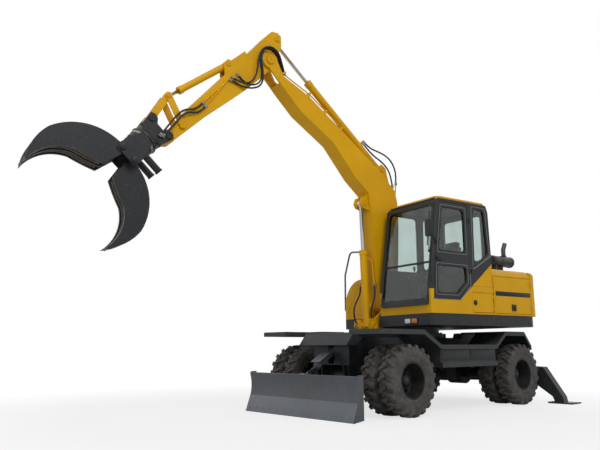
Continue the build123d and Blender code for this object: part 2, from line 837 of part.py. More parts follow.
# Turntable deck with its skirt and the boom bracket
foot_wall = boom_half + side_fit + fork_plate / 2
bracket_side = [
    (-260, deck_bottom),
    (-260, deck_top + 60),
    (-80, 1420),
    (180, 1545),
    (300, 1560),
    (400, 1510),
    (480, 1330),
    (600, 1230),
    (720, 1210),
    (745, 1110),
    (690, 1044),
    (540, 1044),
    (490, deck_bottom),
]
with BuildPart() as turret:
    level_plate(
        [
            (cab_front, deck_half),
            (cab_front, cab_inner - 20),
            (body_front, cab_inner - 20),
            (body_front, -deck_half),
            (deck_rear, -deck_half),
            (deck_rear, deck_half),
        ],
        deck_bottom,
        deck_top,
    )
    fillet(turret.edges().filter_by(Axis.Z).group_by(Axis.X)[0], radius=180)
    fillet(turret.edges().filter_by(Axis.Z).group_by(Axis.X)[-1].sort_by(Axis.Y)[-1:], radius=60)
    bar((0, 0, ring_floor + side_fit), (0, 0, deck_bottom + 5), ring_radius)
    bar(
        (0, 0, ring_floor),
        (0, 0, ring_floor + spigot_height + side_fit),
        spigot_radius + side_fit,
        Mode.SUBTRACT,
    )
    for side in (-1, 1):
        side_plate(bracket_side, boom_y + side * foot_wall, fork_plate)
        ear_inner = boom_ram["foot_half"] + side_fit
        filler_mid = boom_y + side * (ear_inner + boom_half) / 2
        side_plate(
            [(490, 1044), (490, 1150), (570, 1215), (700, 1205), (735, 1110), (690, 1044)],
            filler_mid,
            boom_half - ear_inner,
        )
    block((470, 520), (boom_y - boom_half, boom_y + boom_half), (1044, 1150))
    cross_pin(boom_foot, 45, boom_y, foot_wall + fork_plate / 2 + 12)
    cross_pin(boom_ram_base, boom_ram["pin"], boom_y, foot_wall + fork_plate / 2 + 12)
    for route in foot_hoses:
        add_fitting(route)
finish(turret, "turret", upper_home)

# Hood: a shell behind the cab, open below, with a doorway in its left side
hood_round = 150.0
hatch_x = (-1486.0, -700.0)
hatch_z = (1275.0, 1800.0)
with BuildPart() as hood:
    with BuildSketch(Plane.YZ.offset(hood_rear + panel_gap / 5)) as section:
        with BuildLine():
            Polyline(
                (deck_half, deck_top),
                (deck_half, hood_top),
                (-deck_half, hood_top),
                (-deck_half, deck_top),
                close=True,
            )
        make_face()
        fillet(section.vertices().group_by(Axis.Y)[-1], radius=hood_round)
    extrude(section.sketch, amount=hood_front - hood_rear - panel_gap / 5)
    with BuildSketch(Plane.YZ.offset(hood_rear)) as hollow:
        with BuildLine():
            Polyline(
                (deck_half - hood_wall, deck_top),
                (deck_half - hood_wall, hood_top - hood_wall),
                (-deck_half + hood_wall, hood_top - hood_wall),
                (-deck_half + hood_wall, deck_top),
                close=True,
            )
        make_face()
        fillet(hollow.vertices().group_by(Axis.Y)[-1], radius=hood_round - hood_wall)
    extrude(hollow.sketch, amount=hood_front - hood_rear - hood_wall, mode=Mode.SUBTRACT)
    block(hatch_x, (deck_half - 2 * hood_wall, deck_half + 1), hatch_z, Mode.SUBTRACT)
finish(hood, "hood", upper_home)

# Hood side door, hinged at its rear edge
hatch_hinge = (hatch_x[0] - 6, deck_half + 12)
with BuildPart() as hood_door:
    block(
        (hatch_x[0] + panel_gap + 4, hatch_x[1] - panel_gap),
        (deck_half - hood_wall, deck_half),
        (hatch_z[0] + panel_gap, hatch_z[1] - panel_gap),
    )
    block((-1120, -1050), (deck_half, deck_half + 14), (1330, 1400))
    for hinge_z in (1360.0, 1700.0):
        block(
            (hatch_hinge[0], hatch_hinge[0] + 60),
            (deck_half, deck_half + 8),
            (hinge_z, hinge_z + 60),
        )
        bar((*hatch_hinge, hinge_z), (*hatch_hinge, hinge_z + 60), 8)
finish(hood_door, "hood_door", upper_home)

# Counterweight
with BuildPart() as counterweight:
    level_plate(
        [
            (hood_rear, deck_half),
            (deck_rear, deck_half),
            (tail_rear, deck_half - 220),
            (tail_rear, -deck_half + 220),
            (deck_rear, -deck_half),
            (hood_rear, -deck_half),
        ],
        deck_top,
        hood_top - 20,
    )
    fillet(counterweight.edges().filter_by(Axis.Z).group_by(Axis.X)[1], radius=120)
    fillet(counterweight.faces().sort_by(Axis.Z)[-1].edges().sort_by(Axis.X)[:-1], radius=60)
finish(counterweight, "counterweight", upper_home)

with BuildPart() as engine:
    block((-1400, -800), (-560, 560), (deck_top, 1820))
finish(engine, "engine", upper_home)

# Right-hand tank body with its rounded outer shoulder
tank_inner = boom_y - foot_wall - fork_plate / 2 - 12 - 30
with BuildPart() as tank:
    with BuildSketch(Plane.YZ.offset(hood_front + 1)) as section:
        with BuildLine():
            Line((tank_inner, deck_top), (tank_inner, 1855))
            Line((tank_inner, 1855), (-668, 1855))
            ThreePointArc((-668, 1855), (-950, 1738), (-deck_half, 1455))
            Line((-deck_half, 1455), (-deck_half, deck_top))
            Line((-deck_half, deck_top), (tank_inner, deck_top))
        make_face()
    extrude(section.sketch, amount=body_front - hood_front - 1)
finish(tank, "tank", upper_home)

# Exhaust on the hood
exhaust_y = 600.0
with BuildPart() as exhaust:
    bar((-1673, exhaust_y, 2110), (-1226, exhaust_y, 2110), 82)
    bar((-1525, exhaust_y, 2110), (-1525, exhaust_y, 2310), 34)
    bar((-1525, exhaust_y, 2300), (-1570, exhaust_y, 2400), 34)
    for foot_x in (-1420, -1280):
        block((foot_x - 15, foot_x + 15), (exhaust_y - 50, exhaust_y + 50), (hood_top, 2060))
finish(exhaust, "exhaust", upper_home)

# Cab: a closed outline seen from the side, split into a painted tub below and a frame above
cab_outline = [
    (hood_front + 12, deck_top),
    (560, deck_top),
    (556, 1588),
    (385, 2755),
    (348, 2800),
    (-600, 2800),
    (-640, 2700),
    (hood_front + 12, 2084),
]
tub_line = [
    (hood_front - 100, 1000),
    (hood_front - 100, 1964),
    (hood_front + 12, 1964),
    (13, 1435),
    (700, 1435),
    (700, 1000),
]
cab_mid = (cab_inner + cab_outer) / 2
cab_width = cab_outer - cab_inner
doorway = [(505, 1440), (22, 1440), (-212, 1630), (-212, 2762), (330, 2762), (492, 1640)]
front_glass_y = (110.0, 1034.0)
rear_glass = ((200.0, 944.0), (2020.0, 2700.0))
quarter_window = [(-304, 2740), (-561, 2740), (-608, 2084), (-284, 1890)]
side_window = [(320, 2740), (-200, 2740), (-200, 1890), (456, 1890)]


def front_edge(z, back=0.0):
    """The x of the cab's front face at a height, moved back by a distance."""
    low, high = cab_outline[2], cab_outline[3]
    return low[0] + (high[0] - low[0]) * (z - low[1]) / (high[1] - low[1]) - back


windscreen = [(front_edge(1440), 1440), (front_edge(2730), 2730)]

with BuildPart() as cab_shell:
    side_plate(cab_outline, cab_mid, cab_width)
    side_plate(cab_outline, cab_mid, cab_width - 2 * cab_wall, Mode.SUBTRACT, inset=cab_wall)
    side_plate(doorway, cab_outer, 2 * cab_wall + 2, Mode.SUBTRACT)
    side_plate(quarter_window, cab_outer, 2 * cab_wall + 2, Mode.SUBTRACT)
    side_plate(quarter_window, cab_inner, 2 * cab_wall + 2, Mode.SUBTRACT)
    side_plate(side_window, cab_inner, 2 * cab_wall + 2, Mode.SUBTRACT)
    block((hood_front - 50, -560), *rear_glass, Mode.SUBTRACT)
    side_plate(
        [(x - 80, z) for x, z in windscreen] + [(x + 80, z) for x, z in reversed(windscreen)],
        cab_mid,
        cab_width - 2 * 45,
        Mode.SUBTRACT,
    )
with BuildPart() as cab_base:
    add(cab_shell.part)
    side_plate(tub_line, cab_mid, cab_width + 10, Mode.INTERSECT)
    locker_x = (-655.0, -222.0)
    locker_z = (1275.0, 1555.0)
    block(locker_x, (cab_outer - cab_wall - 1, cab_outer + 1), locker_z, Mode.SUBTRACT)
finish(cab_base, "cab_base", upper_home)
with BuildPart() as cab_frame:
    add(cab_shell.part)
    side_plate(tub_line, cab_mid, cab_width + 10, Mode.SUBTRACT)
finish(cab_frame, "cab_frame", upper_home)
with BuildPart() as cab_roof:
    side_plate(
        [(362, 2800), (345, 2800 + roof_thick), (-585, 2800 + roof_thick), (-612, 2800)],
        cab_mid,
        cab_width - 20,
    )
finish(cab_roof, "cab_roof", upper_home)

with BuildPart() as cab_glass:
    pane_y = cab_inner + 20
    side_plate(quarter_window, cab_inner + 20, glass_thick, inset=glass_fit)
    side_plate(side_window, cab_inner + 20, glass_thick, inset=glass_fit)
    side_plate(quarter_window, cab_outer - 20, glass_thick, inset=glass_fit)
    block(
        (hood_front + 40, hood_front + 40 + glass_thick),
        (rear_glass[0][0] + glass_fit, rear_glass[0][1] - glass_fit),
        (rear_glass[1][0] + glass_fit, rear_glass[1][1] - glass_fit),
    )
    side_plate(
        [(x - 18 - glass_thick, z) for x, z in windscreen]
        + [(x - 18, z) for x, z in reversed(windscreen)],
        cab_mid,
        cab_width - 2 * 45,
        inset=glass_fit,
    )
finish(cab_glass, "cab_glass", upper_home)

# Cab door, hinged at its rear post
door_hinge = (-228.0, cab_outer + 14)
door_upper = [(305, 2700), (-150, 2700), (-150, 2070), (400, 2070)]
door_lower = [(422, 1900), (-150, 1900), (-150, 1680), (45, 1510), (445, 1510)]
door_mid = cab_outer - door_thick / 2
with BuildPart() as cab_door:
    side_plate(doorway, door_mid, door_thick, inset=panel_gap)
    side_plate(door_upper, door_mid, door_thick + 2, Mode.SUBTRACT)
    side_plate(door_lower, door_mid, door_thick + 2, Mode.SUBTRACT)
    for hinge_z in (1800.0, 2500.0):
        block((door_hinge[0], -180), (cab_outer, cab_outer + 9), (hinge_z, hinge_z + 70))
        bar((*door_hinge, hinge_z), (*door_hinge, hinge_z + 70), 9)
    block((345, 430), (cab_outer, cab_outer + 22), (1960, 1995))
finish(cab_door, "cab_door", upper_home)
with BuildPart() as door_glass:
    side_plate(door_upper, cab_outer - 20, glass_thick, inset=glass_fit)
    side_plate(door_lower, cab_outer - 20, glass_thick, inset=glass_fit)
finish(door_glass, "door_glass", upper_home)

# Locker door under the cab's rear quarter, hinged at its rear edge
locker_hinge = (locker_x[0] - 6, cab_outer + 10)
with BuildPart() as locker_door:
    block(
        (locker_x[0] + panel_gap + 4, locker_x[1] - panel_gap),
        (cab_outer - 20, cab_outer),
        (locker_z[0] + panel_gap, locker_z[1] - panel_gap),
    )
    for hinge_z in (1310.0, 1480.0):
        block(
            (locker_hinge[0], locker_x[0] + 50), (cab_outer, cab_outer + 6), (hinge_z, hinge_z + 40)
        )
        bar((*locker_hinge, hinge_z), (*locker_hinge, hinge_z + 40), 7)
    block((-300, -255), (cab_outer, cab_outer + 12), (1395, 1430))
finish(locker_door, "locker_door", upper_home)

# Operator's seat and consoles
cab_floor = deck_top + cab_wall
with BuildPart() as seat:
    block((-330, 60), (420, 720), (cab_floor, 1560))
    with BuildSketch(Plane.YZ.offset(-330)) as cushion:
        with Locations((570, 1635)):
            RectangleRounded(480, 150, 40)
    extrude(cushion.sketch, amount=440)
    side_plate([(-330, 1600), (-430, 2280), (-310, 2300), (-200, 1700)], 570, 460)
    for side in (-1, 1):
        block((-300, 120), (570 + side * 270 - 45, 570 + side * 270 + 45), (1500, 1810))
        bar((70, 570 + side * 270, 1800), (95, 570 + side * 270, 1960), 16)
    bar((320, 570, cab_floor), (320, 570, 1560), 26)
finish(seat, "seat", upper_home)

# Handrail on the tank body
with BuildPart() as handrail:
    rail_points = [
        (270, -deck_half, 1400),
        (270, -1108, 1400),
        (270, -1103, 1960),
        (270, -962, 2320),
        (270, -691, 2290),
        (270, -600, 2100),
        (270, -600, 1855),
    ]
    with BuildLine() as rail_path:
        FilletPolyline(*rail_points, radius=[25, 90, 90, 90, 90])
    with BuildSketch(Plane(origin=rail_path.line @ 0, z_dir=rail_path.line % 0)):
        Circle(14)
    sweep(path=rail_path.line)
finish(handrail, "handrail", upper_home)

# Lamps on the skirt's front and a mirror on the cab's corner post
with BuildPart() as fittings:
    for front_x, lamp_y in ((cab_front, 644), (cab_front, 770), (body_front, -644), (body_front, -770)):
        block((front_x, front_x + 18), (lamp_y - 50, lamp_y + 50), (1130, 1190))
    bar((438, cab_outer, 2180), (438, cab_outer + 50, 2180), 11)
    bar((438, cab_outer + 40, 2180), (560, cab_outer + 40, 2290), 11)
    block((548, 572), (cab_outer - 60, cab_outer + 90), (2240, 2480))
finish(fittings, "cab_fittings", upper_home)

# Boom: box section with a forked head, ram ears on its belly and on its back
boom_outline = [
    (205, 1380),
    (110, 2000),
    (75, 2600),
    (86, 2980),
    (130, 3153),
    (473, 3460),
    (1134, 3930),
    (1691, 4312),
    (2117, 4513),
    (2262, 4795),
    (2400, 4800),
    (2440, 4680),
    (2075, 4298),
    (1823, 4055),
    (1276, 3710),
    (892, 3258),
    (640, 3045),
    (596, 2781),
    (580, 2500),
    (560, 2100),
    (535, 1748),
    (410, 1380),
]
boom_clamp_sides = [
    # across the pipes, each from inside the boom to just over them
    [(2161, 4545), (2083, 4586), (2072, 4566), (2150, 4526)],
    [(1700, 4270), (1655, 4370), (1680, 4381), (1725, 4281)],
    [(1425, 4080), (1375, 4162), (1398, 4178), (1448, 4096)],
    [(1150, 3890), (1092, 3968), (1114, 3984), (1172, 3906)],
]
fork_reach = 330.0
fork_inner = boom_half - fork_plate
with BuildPart() as boom:
    side_plate(boom_outline, boom_y, 2 * boom_half)
    cross_pin(boom_foot, 118, boom_y, boom_half)
    cross_pin(arm_pin, 118, boom_y, boom_half)
    for side in (-1, 1):
        side_plate(
            [(600, 3040), (740, 2985), (772, 2905), (742, 2845), (690, 2826), (590, 2800)],
            boom_y + side * (boom_ram["eye_half"] + eye_fit + 15),
            30,
        )
        cross_pin(boom_ram_eye, 52, boom_y + side * (boom_ram["eye_half"] + eye_fit + 34), 6)
        side_plate(
            [(180, 3190), (262, 3495), (336, 3548), (408, 3505), (540, 3495), (500, 3400)],
            boom_y + side * (arm_ram["foot_half"] + side_fit + 12),
            24,
        )
    cross_pin(arm_ram_base, arm_ram["pin"], boom_y, arm_ram["foot_half"] + side_fit + 34)
    cross_pin(arm_pin, fork_reach, boom_y, fork_inner, Mode.SUBTRACT)
    cross_pin(arm_pin, 40, boom_y, boom_half + 14)
    cross_pin(boom_foot, 45 + pin_fit, boom_y, boom_half + 1, Mode.SUBTRACT)
    for route, pipe in zip(head_hoses, boom_back_pipes):
        add_fitting(route[::-1], pipe)
    for route, pipe in zip(back_hoses, boom_foot_pipes):
        add_fitting(route, pipe)
    for clamp_side in boom_clamp_sides:
        side_plate(clamp_side, -67, 100)
finish(boom, "boom", upper_home)

# Arm: box section with an open rear fork for its ram and raised ears for the tilt ram
arm_outline = [
    (2135, 4960),
    (2140, 5110),
    (2190, 5150),
    (2290, 5145),
    (2370, 5063),
    (2972, 4355),
    (3487, 3763),
    (3716, 3440),
    (3700, 3270),
    (3222, 3729),
    (2702, 4176),
    (2430, 4440),
    (2290, 4600),
    (2225, 4720),
]
with BuildPart() as arm:
    side_plate(arm_outline, boom_y, 2 * arm_half)
    cross_pin(arm_pin, 100, boom_y, fork_inner - side_fit)
    cross_pin(tip_pin, 85, boom_y, arm_half)
    side_plate(
        [(2080, 5250), (2420, 5250), (2500, 4760), (2440, 4560), (2200, 4500), (2080, 4700)],
        boom_y,
        2 * (arm_ram["eye_half"] + eye_fit + 6),
        Mode.SUBTRACT,
    )
    for side in (-1, 1):
        side_plate(
            [(2660, 4700), (2700, 4745), (2900, 4560), (2950, 4565), (3005, 4500), (2985, 4330)],
            boom_y + side * (tilt_ram["foot_half"] + side_fit + 12),
            24,
        )
        cross_pin(arm_ram_eye, 50, boom_y + side * (arm_half + 6), 6)
    cross_pin(tilt_ram_base, tilt_ram["pin"], boom_y, tilt_ram["foot_half"] + side_fit + 34)
    cross_pin(arm_pin, 40 + pin_fit, boom_y, boom_half, Mode.SUBTRACT)
    cross_pin(tip_pin, 30 + pin_fit, boom_y, boom_half, Mode.SUBTRACT)
    cross_pin(rocker_pin, 28 + pin_fit, boom_y, boom_half, Mode.SUBTRACT)
    add_fitting(head_hoses[0])
    for route, pipe in zip(head_hoses[2:0:-1], arm_side_pipes):
        add_fitting(route, pipe)
    for route in tip_hoses:
        add_fitting(route[::-1])
    for share in pipe_clamps:
        outer_spot = Vector(2911, -52, 4323) + share * Vector(376, 0, -439)
        inner_spot = Vector(2952, -52, 4274) + share * Vector(299, 0, -427)
        across = (outer_spot - inner_spot).normalized() * 18
        bar(tuple(inner_spot - across), tuple(outer_spot + across), pipe_radius + 3)
finish(arm, "arm", upper_home)

# Rams of the boom, the arm and the grapple's tilt
rams = [
    # name, pins at its foot and eye, sizes, hoses at its tube and their pipes
    ("boom", boom_ram_base, boom_ram_eye, boom_ram, foot_hoses, boom_ram_pipes),
    ("arm", arm_ram_base, arm_ram_eye, arm_ram, back_hoses, arm_ram_pipes),
    ("tilt", tilt_ram_base, rocker_top, tilt_ram, [], []),
]
for label, base_spot, eye_spot, ram, hoses, pipes in rams:
    base = in_boom_plane(base_spot)
    eye = in_boom_plane(eye_spot)
    with BuildPart() as tube:
        add_barrel(base, eye, across_y, ram)
        for route, pipe in zip(hoses, pipes):
            add_fitting(route[::-1], pipe)
    finish(tube, f"{label}_tube", upper_home)
    with BuildPart() as rod:
        add_rod(base, eye, across_y, ram)
    finish(rod, f"{label}_rod", upper_home)

# Rocker plates outside the arm and the link inside the hanger
rocker_plate = 18.0
link_half = arm_half - side_fit
with BuildPart() as rocker:
    run = Plane(
        origin=in_boom_plane(rocker_pin),
        x_dir=Vector(*in_boom_plane(rocker_top)) - Vector(*in_boom_plane(rocker_pin)),
        z_dir=(0, -1, 0),
    )
    reach = hypot(rocker_top[0] - rocker_pin[0], rocker_top[1] - rocker_pin[1])
    for side in (-1, 1):
        with BuildSketch(run.offset(-side * (arm_half + side_fit + rocker_plate / 2))) as bar_face:
            with Locations((reach / 2, 0)):
                SlotCenterToCenter(reach, 84)
        extrude(bar_face.sketch, amount=rocker_plate / 2, both=True)
        cross_pin(
            rocker_top, 34, boom_y + side * (arm_half + side_fit + rocker_plate + 6), 6.5
        )
    cross_pin(rocker_pin, 28, boom_y, arm_half + side_fit + rocker_plate + 12)
finish(rocker, "rocker", upper_home)
with BuildPart() as link:
    span = hypot(rocker_top[0] - link_pin[0], rocker_top[1] - link_pin[1])
    along = Plane(
        origin=in_boom_plane(link_pin),
        x_dir=Vector(*in_boom_plane(rocker_top)) - Vector(*in_boom_plane(link_pin)),
        z_dir=(0, -1, 0),
    )
    for side in (-1, 1):
        with BuildSketch(along.offset(-side * (link_half - 13))) as link_face:
            with Locations((span / 2, 0)):
                SlotCenterToCenter(span, 84)
        extrude(link_face.sketch, amount=13, both=True)
    cross_pin(link_pin, 50, boom_y, link_half)
    cross_pin(link_pin, 28 + pin_fit, boom_y, boom_half, Mode.SUBTRACT)
finish(link, "link", upper_home)


def grapple_plane(middle=boom_y):
    """The grapple's own upright plane: X along its axis from the hanger, Y across it."""
    turn = radians(grapple_angle)
    return Plane(
        origin=(hanger_mid[0], middle, hanger_mid[1]),
        x_dir=(cos(turn), 0, sin(turn)),
        z_dir=(0, -1, 0),
    )


def axis_drum(start, end, radius, mode=Mode.ADD):
    """A drum on the grapple's axis between two distances from the hanger."""
    low, high = grapple_spot(start, 0), grapple_spot(end, 0)
    bar(in_boom_plane(low), in_boom_plane(high), radius, mode)


# Grapple hanger with the fixed half of the turning drum
pin_half_t = hypot(link_pin[0] - tip_pin[0], link_pin[1] - tip_pin[1]) / 2
spindle = 60.0
with BuildPart() as hanger:
    for side in (-1, 1):
        with BuildSketch(grapple_plane(boom_y + side * (arm_half + side_fit + 12))) as cheek:
            with BuildLine():
                Polyline(
                    (-35, -pin_half_t - 60),
                    (-62, -pin_half_t - 10),
                    (-50, -pin_half_t + 45),
                    (5, -50),
                    (5, 50),
                    (-50, pin_half_t - 45),
                    (-62, pin_half_t + 10),
                    (-35, pin_half_t + 60),
                    (drum_start + 20, drum_radius),
                    (drum_start + 20, -drum_radius),
                    close=True,
                )
            make_face()
        extrude(cheek.sketch, amount=12, both=True)
    cross_pin(tip_pin, 30, boom_y, arm_half + side_fit + 24 + 14)
    cross_pin(link_pin, 28, boom_y, arm_half + side_fit + 24 + 14)
    axis_drum(drum_start, turn_face, drum_radius)
    axis_drum(turn_face - 16, turn_face, drum_radius + 16)
    axis_drum(turn_face, drum_end - 50, spindle)
    for route in tip_hoses:
        add_fitting(route)
finish(hanger, "hanger", upper_home)

# Rotator: the turning half of the drum and the cheeks that carry both jaws
jaw_wide = 190.0
cheek_plate = 24.0
jaw_pin = 28.0
with BuildPart() as rotator:
    axis_drum(turn_face + side_fit, drum_end, drum_radius)
    axis_drum(turn_face, drum_end - 40, spindle + pin_fit, Mode.SUBTRACT)
    for side in (-1, 1):
        middle = boom_y + side * (jaw_wide + side_fit + cheek_plate / 2)
        with BuildSketch(grapple_plane(middle)) as cheek:
            with BuildLine():
                Polyline(
                    (drum_end - 70, -90),
                    (jaw_pivot_s - 30, -jaw_pivot_t - 58),
                    (jaw_pivot_s + 50, -jaw_pivot_t - 40),
                    (jaw_pivot_s + 55, jaw_pivot_t + 40),
                    (jaw_pivot_s - 30, jaw_pivot_t + 58),
                    (drum_end - 70, 90),
                    close=True,
                )
            make_face()
        extrude(cheek.sketch, amount=cheek_plate / 2, both=True)
        with BuildSketch(grapple_plane(boom_y + side * (jaw_wide + side_fit + cheek_plate))) as head:
            with BuildLine():
                Polyline(
                    (drum_end - 70, -90), (drum_end - 42, -90), (drum_end - 42, 90),
                    (drum_end - 70, 90), close=True,
                )
            make_face()
        extrude(head.sketch, amount=side * (jaw_wide + side_fit + cheek_plate - 60))
        for pivot_t in (-jaw_pivot_t, jaw_pivot_t):
            cross_pin(
                grapple_spot(jaw_pivot_s, pivot_t), 44,
                boom_y + side * (jaw_wide + side_fit + cheek_plate + 5), 6,
            )
    for pivot_t in (-jaw_pivot_t, jaw_pivot_t):
        cross_pin(
            grapple_spot(jaw_pivot_s, pivot_t), jaw_pin, boom_y, jaw_wide + side_fit + cheek_plate
        )
finish(rotator, "rotator", upper_home)

# Jaws: crescent plates on a hub, with crank ears for the twin rams
jaw_ram_y = 125.0
ram_ear = 15.0
jaws = [
    ("jaw_upper", 1, (-172.0, 0.0, 172.0), (jaw_ram["eye_half"] + eye_fit, Mode.ADD)),
    ("jaw_lower", -1, (-86.0, 86.0), (jaw_ram["tube"] + 6.6, Mode.ADD)),
]
for label, turn, plate_rows, ear in jaws:
    pivot = grapple_spot(jaw_pivot_s, turn * jaw_pivot_t)
    with BuildPart() as jaw:
        cross_pin(pivot, 48, boom_y, jaw_wide)
        for row in plate_rows:
            with BuildSketch(grapple_plane(boom_y + row)) as crescent:
                with BuildLine():
                    root = (jaw_pivot_s - 15, turn * (jaw_pivot_t + 95))
                    belly = (1060, turn * 748)
                    tip = (1515, turn * 615)
                    throat = (1010, turn * 400)
                    heel = (880, turn * (jaw_pivot_t - 10))
                    ThreePointArc(root, (770, turn * 590), belly)
                    ThreePointArc(belly, (1310, turn * 725), tip)
                    ThreePointArc(tip, (1245, turn * 595), throat)
                    ThreePointArc(throat, (950, turn * 240), heel)
                    Line(heel, (jaw_pivot_s + 60, turn * (jaw_pivot_t - 55)))
                    Line((jaw_pivot_s + 60, turn * (jaw_pivot_t - 55)), (jaw_pivot_s - 40, turn * jaw_pivot_t))
                    Line((jaw_pivot_s - 40, turn * jaw_pivot_t), root)
                make_face()
            extrude(crescent.sketch, amount=jaw_plate / 2, both=True)
        reach_row = max(plate_rows)
        cross_pin(grapple_spot(740, turn * 400), 36, boom_y, reach_row)
        cross_pin(grapple_spot(1090, turn * 655), 28, boom_y, reach_row)
        for side in (-1, 1):
            for edge in (-1, 1):
                ear_mid = side * jaw_ram_y + edge * (ear[0] + ram_ear / 2)
                with BuildSketch(grapple_plane(boom_y + ear_mid)) as crank:
                    with BuildLine():
                        Polyline(
                            (jaw_pivot_s, turn * (jaw_pivot_t - 40)),
                            (crank_s - 10, turn * (crank_t - 36)),
                            (crank_s - 36, turn * crank_t),
                            (crank_s - 10, turn * (crank_t + 36)),
                            (jaw_pivot_s, turn * (jaw_pivot_t + 40)),
                            close=True,
                        )
                    make_face()
                extrude(crank.sketch, amount=ram_ear / 2, both=True)
        if turn < 0:
            cross_pin(
                grapple_spot(crank_s, turn * crank_t), jaw_ram["pin"] + pin_fit, boom_y, jaw_wide + 5,
                Mode.SUBTRACT,
            )
        cross_pin(pivot, jaw_pin + pin_fit, boom_y, jaw_wide + 5, Mode.SUBTRACT)
    finish(jaw, label, upper_home)

# Twin jaw rams: tubes on trunnions in the lower jaw's cranks, rods to the upper jaw's
jaw_tube_tail = 262.0
with BuildPart() as jaw_tubes:
    for side in (-1, 1):
        row = boom_y + side * jaw_ram_y
        tail = grapple_spot(crank_s, -crank_t - jaw_tube_tail)
        mouth = grapple_spot(crank_s, -crank_t + jaw_ram["reach"])
        bar((tail[0], row, tail[1]), (mouth[0], row, mouth[1]), jaw_ram["tube"])
        bar((tail[0], row, tail[1]), (mouth[0], row, mouth[1]), jaw_ram["rod"] + pin_fit, Mode.SUBTRACT)
        cap = grapple_spot(crank_s, -crank_t - jaw_tube_tail + 20)
        bar((tail[0], row, tail[1]), (cap[0], row, cap[1]), jaw_ram["tube"] + 5)
        for edge in (-1, 1):
            stub = jaw_ram_y * side + edge * (jaw_ram["tube"] + 12)
            spot = grapple_spot(crank_s, -crank_t)
            bar(
                (spot[0], boom_y + jaw_ram_y * side + edge * (jaw_ram["rod"] + 6), spot[1]),
                (spot[0], boom_y + jaw_ram_y * side + edge * (jaw_ram["tube"] + 6.6 + ram_ear), spot[1]),
                jaw_ram["pin"],
            )
finish(jaw_tubes, "jaw_tubes", upper_home)
with BuildPart() as jaw_rods:
    for side in (-1, 1):
        row = boom_y + side * jaw_ram_y
        eye = grapple_spot(crank_s, crank_t)
        inner = grapple_spot(crank_s, crank_t - jaw_ram["rod_length"])
        bar((inner[0], row, inner[1]), (eye[0], row, eye[1]), jaw_ram["rod"])
        cross_pin(eye, jaw_ram["eye"], row, jaw_ram["eye_half"])
finish(jaw_rods, "jaw_rods", upper_home)

# Hoses: past the boom's head to the arm, behind the boom, at its foot and down to the grapple
with BuildPart() as hoses_boom:
    for route in head_hoses + back_hoses:
        add_hose(route, hose_radius)
finish(hoses_boom, "hoses_boom", upper_home)
with BuildPart() as hoses_foot:
    for route in foot_hoses:
        add_hose(route, hose_radius)
finish(hoses_foot, "hoses_foot", upper_home)
with BuildPart() as hoses_tip:
    for route in tip_hoses:
        add_hose(route, hose_radius)
finish(hoses_tip, "hoses_tip", upper_home)
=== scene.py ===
"""Looks of the wheeled log grapple loader: its paint, tyres, glass, hoses, cab and small fittings.

Shapes are drawn in millimetres, in the frames of the machine's own groups: the carrier, the upper
works and the grapple. The matrices below set them in the scene, which is in metres.
"""

import json
from math import atan2, cos, pi, radians, sin, tan

import bmesh
import bpy
from bpy.props import FloatProperty, FloatVectorProperty, IntProperty, PointerProperty
from bpy.types import Operator, Panel, PropertyGroup
from mathutils import Matrix, Vector, noise


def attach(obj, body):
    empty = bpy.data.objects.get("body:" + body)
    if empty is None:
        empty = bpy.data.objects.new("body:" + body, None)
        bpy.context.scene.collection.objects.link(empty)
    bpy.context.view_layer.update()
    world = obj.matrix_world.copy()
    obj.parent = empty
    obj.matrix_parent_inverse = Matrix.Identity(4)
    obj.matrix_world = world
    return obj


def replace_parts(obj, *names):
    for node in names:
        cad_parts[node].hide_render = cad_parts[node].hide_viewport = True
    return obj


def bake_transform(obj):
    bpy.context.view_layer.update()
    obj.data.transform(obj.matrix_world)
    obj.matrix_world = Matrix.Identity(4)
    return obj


bl_info = {
    "name": "Log grapple loader",
    "version": (1, 0, 0),
    "blender": (4, 5, 0),
    "location": "3D View > Sidebar > Loader",
    "description": "Dresses the packed log loader with paint, tyres, glass, hoses and fittings",
    "category": "Object",
}

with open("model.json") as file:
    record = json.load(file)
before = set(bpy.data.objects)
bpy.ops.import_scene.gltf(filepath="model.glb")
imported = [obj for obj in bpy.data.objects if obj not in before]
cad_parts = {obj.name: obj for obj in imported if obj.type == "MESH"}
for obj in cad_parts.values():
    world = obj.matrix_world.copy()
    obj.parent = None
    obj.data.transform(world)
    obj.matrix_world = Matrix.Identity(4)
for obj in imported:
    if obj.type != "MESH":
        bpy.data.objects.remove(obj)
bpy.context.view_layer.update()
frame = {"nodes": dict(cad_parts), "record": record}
nodes = frame["nodes"]

# Frames of the carrier, the upper works and the grapple
slew_x = -1646.0
millimetres = Matrix.Scale(0.001, 4)
carrier_home = millimetres @ Matrix.Translation((slew_x, 0, 0))
upper_home = carrier_home @ Matrix.Rotation(radians(-7.0), 4, "Z")
boom_y = -150.0
grapple_lean = Matrix.Rotation(radians(47.0), 4, "Y")
grapple_home = upper_home @ Matrix.Translation((3846, boom_y, 3436)) @ grapple_lean

deck_half = 1067.0
tyre_radius = 430.0
twin_mid = 874.0
tyre_offset = 140.0
axles = {"front": 1240.0, "rear": -1215.0}
leg_x = -1850.0
corners = [("front_left", 1), ("front_right", -1), ("rear_left", 1), ("rear_right", -1)]


# ---------------------------------------------------------------- values in material trees


